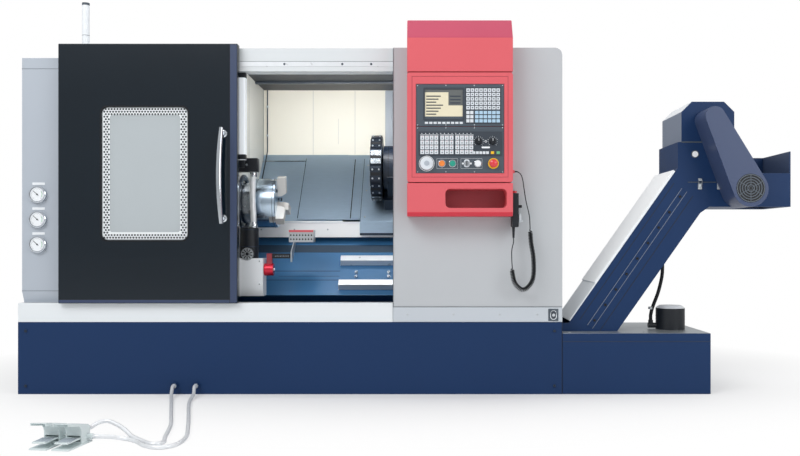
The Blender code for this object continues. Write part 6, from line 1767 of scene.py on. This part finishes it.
@dataclass
class ChipConveyor:
    """Chip conveyor: housing, incline cover, discharge neck and the guard over its chain."""

    front: float = -0.7
    guard_front: float = -0.86
    high: Flat = (1.905, 0.968)
    low: Flat = (1.4605, 0.3245)
    grille: Flat = (2.176, 0.98)
    hole: Flat = (1.966, 1.157)
    latches: Flat = (1.989, 2.083)

    def build(self) -> None:
        """The conveyor's pieces."""
        body = refine("conveyor_body", NAVY, edge=0.0025)
        # Painted light: the discharge box's faces are painted lighter than the navy housing.
        paint_faces(body, NAVY_BOX_PAINTED_LIGHT, (2.175, -0.8, 0.85), (2.5, 0.0, 1.3))
        cover = refine("conveyor_cover", WHITE, edge=0.002)
        # Painted light: the cover's faces that look up and to the left are painted a brighter white than the
        # rest.
        paint_faces(cover, BRIGHT_WHITE_AND_PAINTED_LIGHT, (1.3, -0.72, 0.555), (1.9, -0.3, 1.09), (-0.79, 0, 0.61), 0.6)
        hood = refine("conveyor_hood", NAVY, edge=0.0025)
        # Painted light: the hood's face that looks to the left is painted a lighter slate blue than its navy.
        paint_faces(hood, NAVY_PAINTED_LIGHT, (1.8, -0.8, 1.2), (2.2, -0.3, 1.42), (-1, 0, 0), SQUARE)
        # Painted light: the hood's faces that look up and to the left are painted white as a highlight.
        paint_faces(hood, WHITE, (1.8, -0.8, 1.2), (2.2, -0.3, 1.42), (-0.7, 0, 0.7), 0.85)
        self._sides()
        self._neck()
        self._latches()
        self._guard()

    def _along(self, part: float, side: float = 0.0) -> Flat:
        """Find a point beside the incline's side strip.

        Args:
            part: its share of the way up.
            side: how far it lies beside the strip's line.

        Returns:
            Its X and Z.
        """
        (x1, z1), (x0, z0) = self.high, self.low
        wide, tall = x1 - x0, z1 - z0
        run = math.hypot(wide, tall)
        return x0 + wide * part - tall / run * side, z0 + tall * part + wide / run * side

    def _band(self, side: float, width: float, front: float, back: float) -> Shape:
        """A flat band that runs up the incline, on the housing's front.

        Args:
            side: how far its lower edge lies from the strip's middle.
            width: its width.
            front: how far its front stands off the housing's face, toward the back.
            back: the same for its back.

        Returns:
            The band.
        """
        ends = [self._along(part, out) for part, out in
                ((-0.02, side), (1.02, side), (1.02, side + width), (-0.02, side + width))]
        return prism(ends, Y, self.front + front, self.front + back)

    def _sides(self) -> None:
        """The bolted strip on the incline's side, its bolts and the painted highlights along its edges, and
        the housing's seams.
        """
        place("conveyor_strip", soften(self._band(-0.016, 0.032, -0.002, 0.0008), 0.0008, 1), NAVY)
        bolts = [(x, self.front - 0.002, z) for x, z in [self._along(0.03 + 0.1175 * i) for i in range(9)]]
        Pattern.spread("conveyor_bolts", bolts, socket_screw(0.0062, 0.005), HOLE)
        # Painted highlights: two thin lighter lines along the strip's edges.
        lines = [self._band(side, 0.0026, -0.0026, -0.001) for side in (-0.0155, 0.014)]
        place("strip_lines", join(lines), NAVY_PAINTED_LIGHT)
        seams = [self._band(side, 0.0025, -0.0008, 0.001) for side in (-0.052, 0.06)]
        place("conveyor_seams", join(seams), HOLE)

    def _neck(self) -> None:
        """The neck's flanges and its round opening."""
        y = self.front
        flange = join([block((1.9, y - 0.003, 1.213), (2.16, y + 0.001, 1.219)),
                       block((1.93, y - 0.003, 1.018), (2.1, y + 0.001, 1.0215))])
        place("neck_flange", soften(flange, 0.0008, 1), SLATE)
        place("neck_hole", disc(Y, self.hole, 0.015, y - 0.001, y + 0.0005), BRIGHT_WHITE_AND_PAINTED_LIGHT)
        place("neck_hole_rim", ring(Y, self.hole, 0.019, 0.015, y - 0.0022, y + 0.0005, 32), SLATE)

    def _latches(self) -> None:
        """The latches on the neck's front and their wire bails."""
        y, plates, bails = self.front, [], []
        for x in self.latches:
            for half, out, z0, z1 in ((0.01, 0.006, 0.984, 1.013), (0.009, 0.007, 1.026, 1.038)):
                plates.append(soften(block((x - half, y - out, z0), (x + half, y + 0.0005, z1)), 0.0015))
            bow = [Vector((x + side, y - out, z)) for side, out, z in
                   ((-0.008, 0.008, 1.004), (-0.008, 0.0095, 1.029), (0.0, 0.0095, 1.034),
                    (0.008, 0.0095, 1.029), (0.008, 0.008, 1.004))]
            bails.append(sweep(bow, [0.0016] * len(bow), 8))
        place("neck_latches", join(plates), ZINC)
        place("neck_bails", join(bails), CHROME)

    def _guard(self) -> None:
        """The chain guard with its round grille."""
        refine("chain_guard", GUARD, edge=0.003)
        y, (x, z) = self.guard_front, self.grille
        bars = [ring(Y, (x, z), outer, outer - 0.0045, y - 0.0022, y + 0.001, 48)
                for outer in (0.066, 0.054, 0.042, 0.03, 0.018)]
        low, high = (-0.0018, y - 0.0016, 0.006), (0.0018, y + 0.001, 0.066)
        bars += [moved(block(low, high), turn_at(Y, 60 * i, (x, 0, z))) for i in range(6)]
        place("guard_well", disc(Y, (x, z), 0.068, y - 0.0008, y + 0.0005, 48), HOLE)
        place("guard_grille", join(bars), SLATE)


@dataclass
class CoolantUnit:
    """Coolant tank with its galvanised top, its pump and the pump's hose."""

    pump: Flat = (1.877, -0.59)
    socket: Flat = (1.7783, -0.59)
    lid: float = 0.2912

    def build(self) -> None:
        """The coolant unit's pieces."""
        tank = refine("tank", NAVY, edge=0.003)
        paint_faces(tank, ZINC, (1.29, -0.81, 0.285), (2.02, -0.24, 0.295), (0, 0, 1), SQUARE)
        slab("tank_seam", NAVY_DARK, (1.301, -0.8012, 0.25), (2.008, -0.799, 0.253))
        pump = refine("pump", BLACK)
        paint_faces(pump, RAIL, (1.78, -0.67, 0.386), (1.96, -0.5, 0.42))
        fins = [ring(Z, self.pump, 0.0712, 0.066, z, z + 0.005, 48) for z in (0.306, 0.322, 0.338, 0.354)]
        place("pump_fins", join(fins), BLACK)
        refine("hose", RUBBER, edge=0.0008, segments=1)
        clip = turned([(0.39, 0.0086), (0.39, 0.011), (0.402, 0.011), (0.402, 0.0086)], Z, self.socket, 24)
        place("hose_clip", clip, ZINC)
        spots = [(x, y, self.lid) for x, y in
                 ((1.34, -0.76), (1.7, -0.76), (1.34, -0.29), (1.7, -0.29), (1.97, -0.29))]
        Pattern.spread("tank_screws", spots, moved(pan_screw(0.006, 0.003), turn_at(X, -90)), ZINC)


@dataclass
class FootSwitch:
    """Twin foot switch: its housing with the two treadles and their ribs."""

    wide: float = 0.0633
    ribs: int = 7
    treadles: tuple[tuple[str, float, float], ...] = (("left", -0.7347, -1.8844), ("right", -0.651, -1.8962))

    def build(self) -> None:
        """The foot switch's pieces."""
        refine("pedal_base", TREAD, edge=0.003)
        for side, x, y in self.treadles:
            refine(f"pedal_{side}", TREAD, f"{side}_pedal", 0.001)
            ribs = [block((x + 0.008, row, 0.0278), (x + self.wide - 0.008, row + 0.003, 0.0292))
                    for row in [y + 0.012 + 0.009 * i for i in range(self.ribs)]]
            place(f"pedal_{side}_ribs", join(ribs), GREY, f"{side}_pedal")


@dataclass
class SignalMast:
    """Slim lamp mast on the roof, with its darker bands."""

    centre: Flat = (-1.055, -0.6)
    bands: tuple[Flat, ...] = ((1.912, 0.012), (1.69, 0.015), (1.76, 0.002))

    def build(self) -> None:
        """The mast's pieces."""
        refine("signal_tower", WHITE, edge=0.0012)
        bands = [ring(Z, self.centre, 0.0184, 0.015, z, z + height, 32) for z, height in self.bands]
        place("mast_bands", join(bands), SLATE)


@dataclass
class HiddenDrives:
    """Plainly finished drives inside: spindle motor with its belt, ball screw and tailstock."""

    def build(self) -> None:
        """The hidden pieces."""
        refine("spindle_motor", NAVY_DARK, edge=0.002)
        refine("drive_belt", RUBBER, edge=0.0008, segments=1)
        refine("motor_pulley", STEEL, "drive_pulley", 0.0008, 1)
        refine("z_screw", STEEL, "ball_screw", 0.0005, 1)
        refine("tailstock_body", BED_BLUE, "tailstock", 0.003)
        refine("quill", STEEL, "tail_quill", 0.001)


ASSEMBLIES = (
    Studio(), PendantLead(), *SWITCH_LEADS, BaseFrame(), LeftCabinet(), SlidingDoor(), Covers(), WorkArea(),
    SpindleUnit(), Carriage(), PartsCatcher(), Console(), HandPendant(), ChipConveyor(), CoolantUnit(),
    FootSwitch(), SignalMast(), HiddenDrives(),
)


def main() -> None:
    """Dress the whole lathe and report each sub-assembly."""
    logging.basicConfig(level=logging.INFO, format="%(message)s")
    for assembly in ASSEMBLIES:
        before = len(bpy.data.objects)
        assembly.build()
        log.info("%s: %d pieces", type(assembly).__name__, len(bpy.data.objects) - before)


if __name__ == "__main__":
    main()
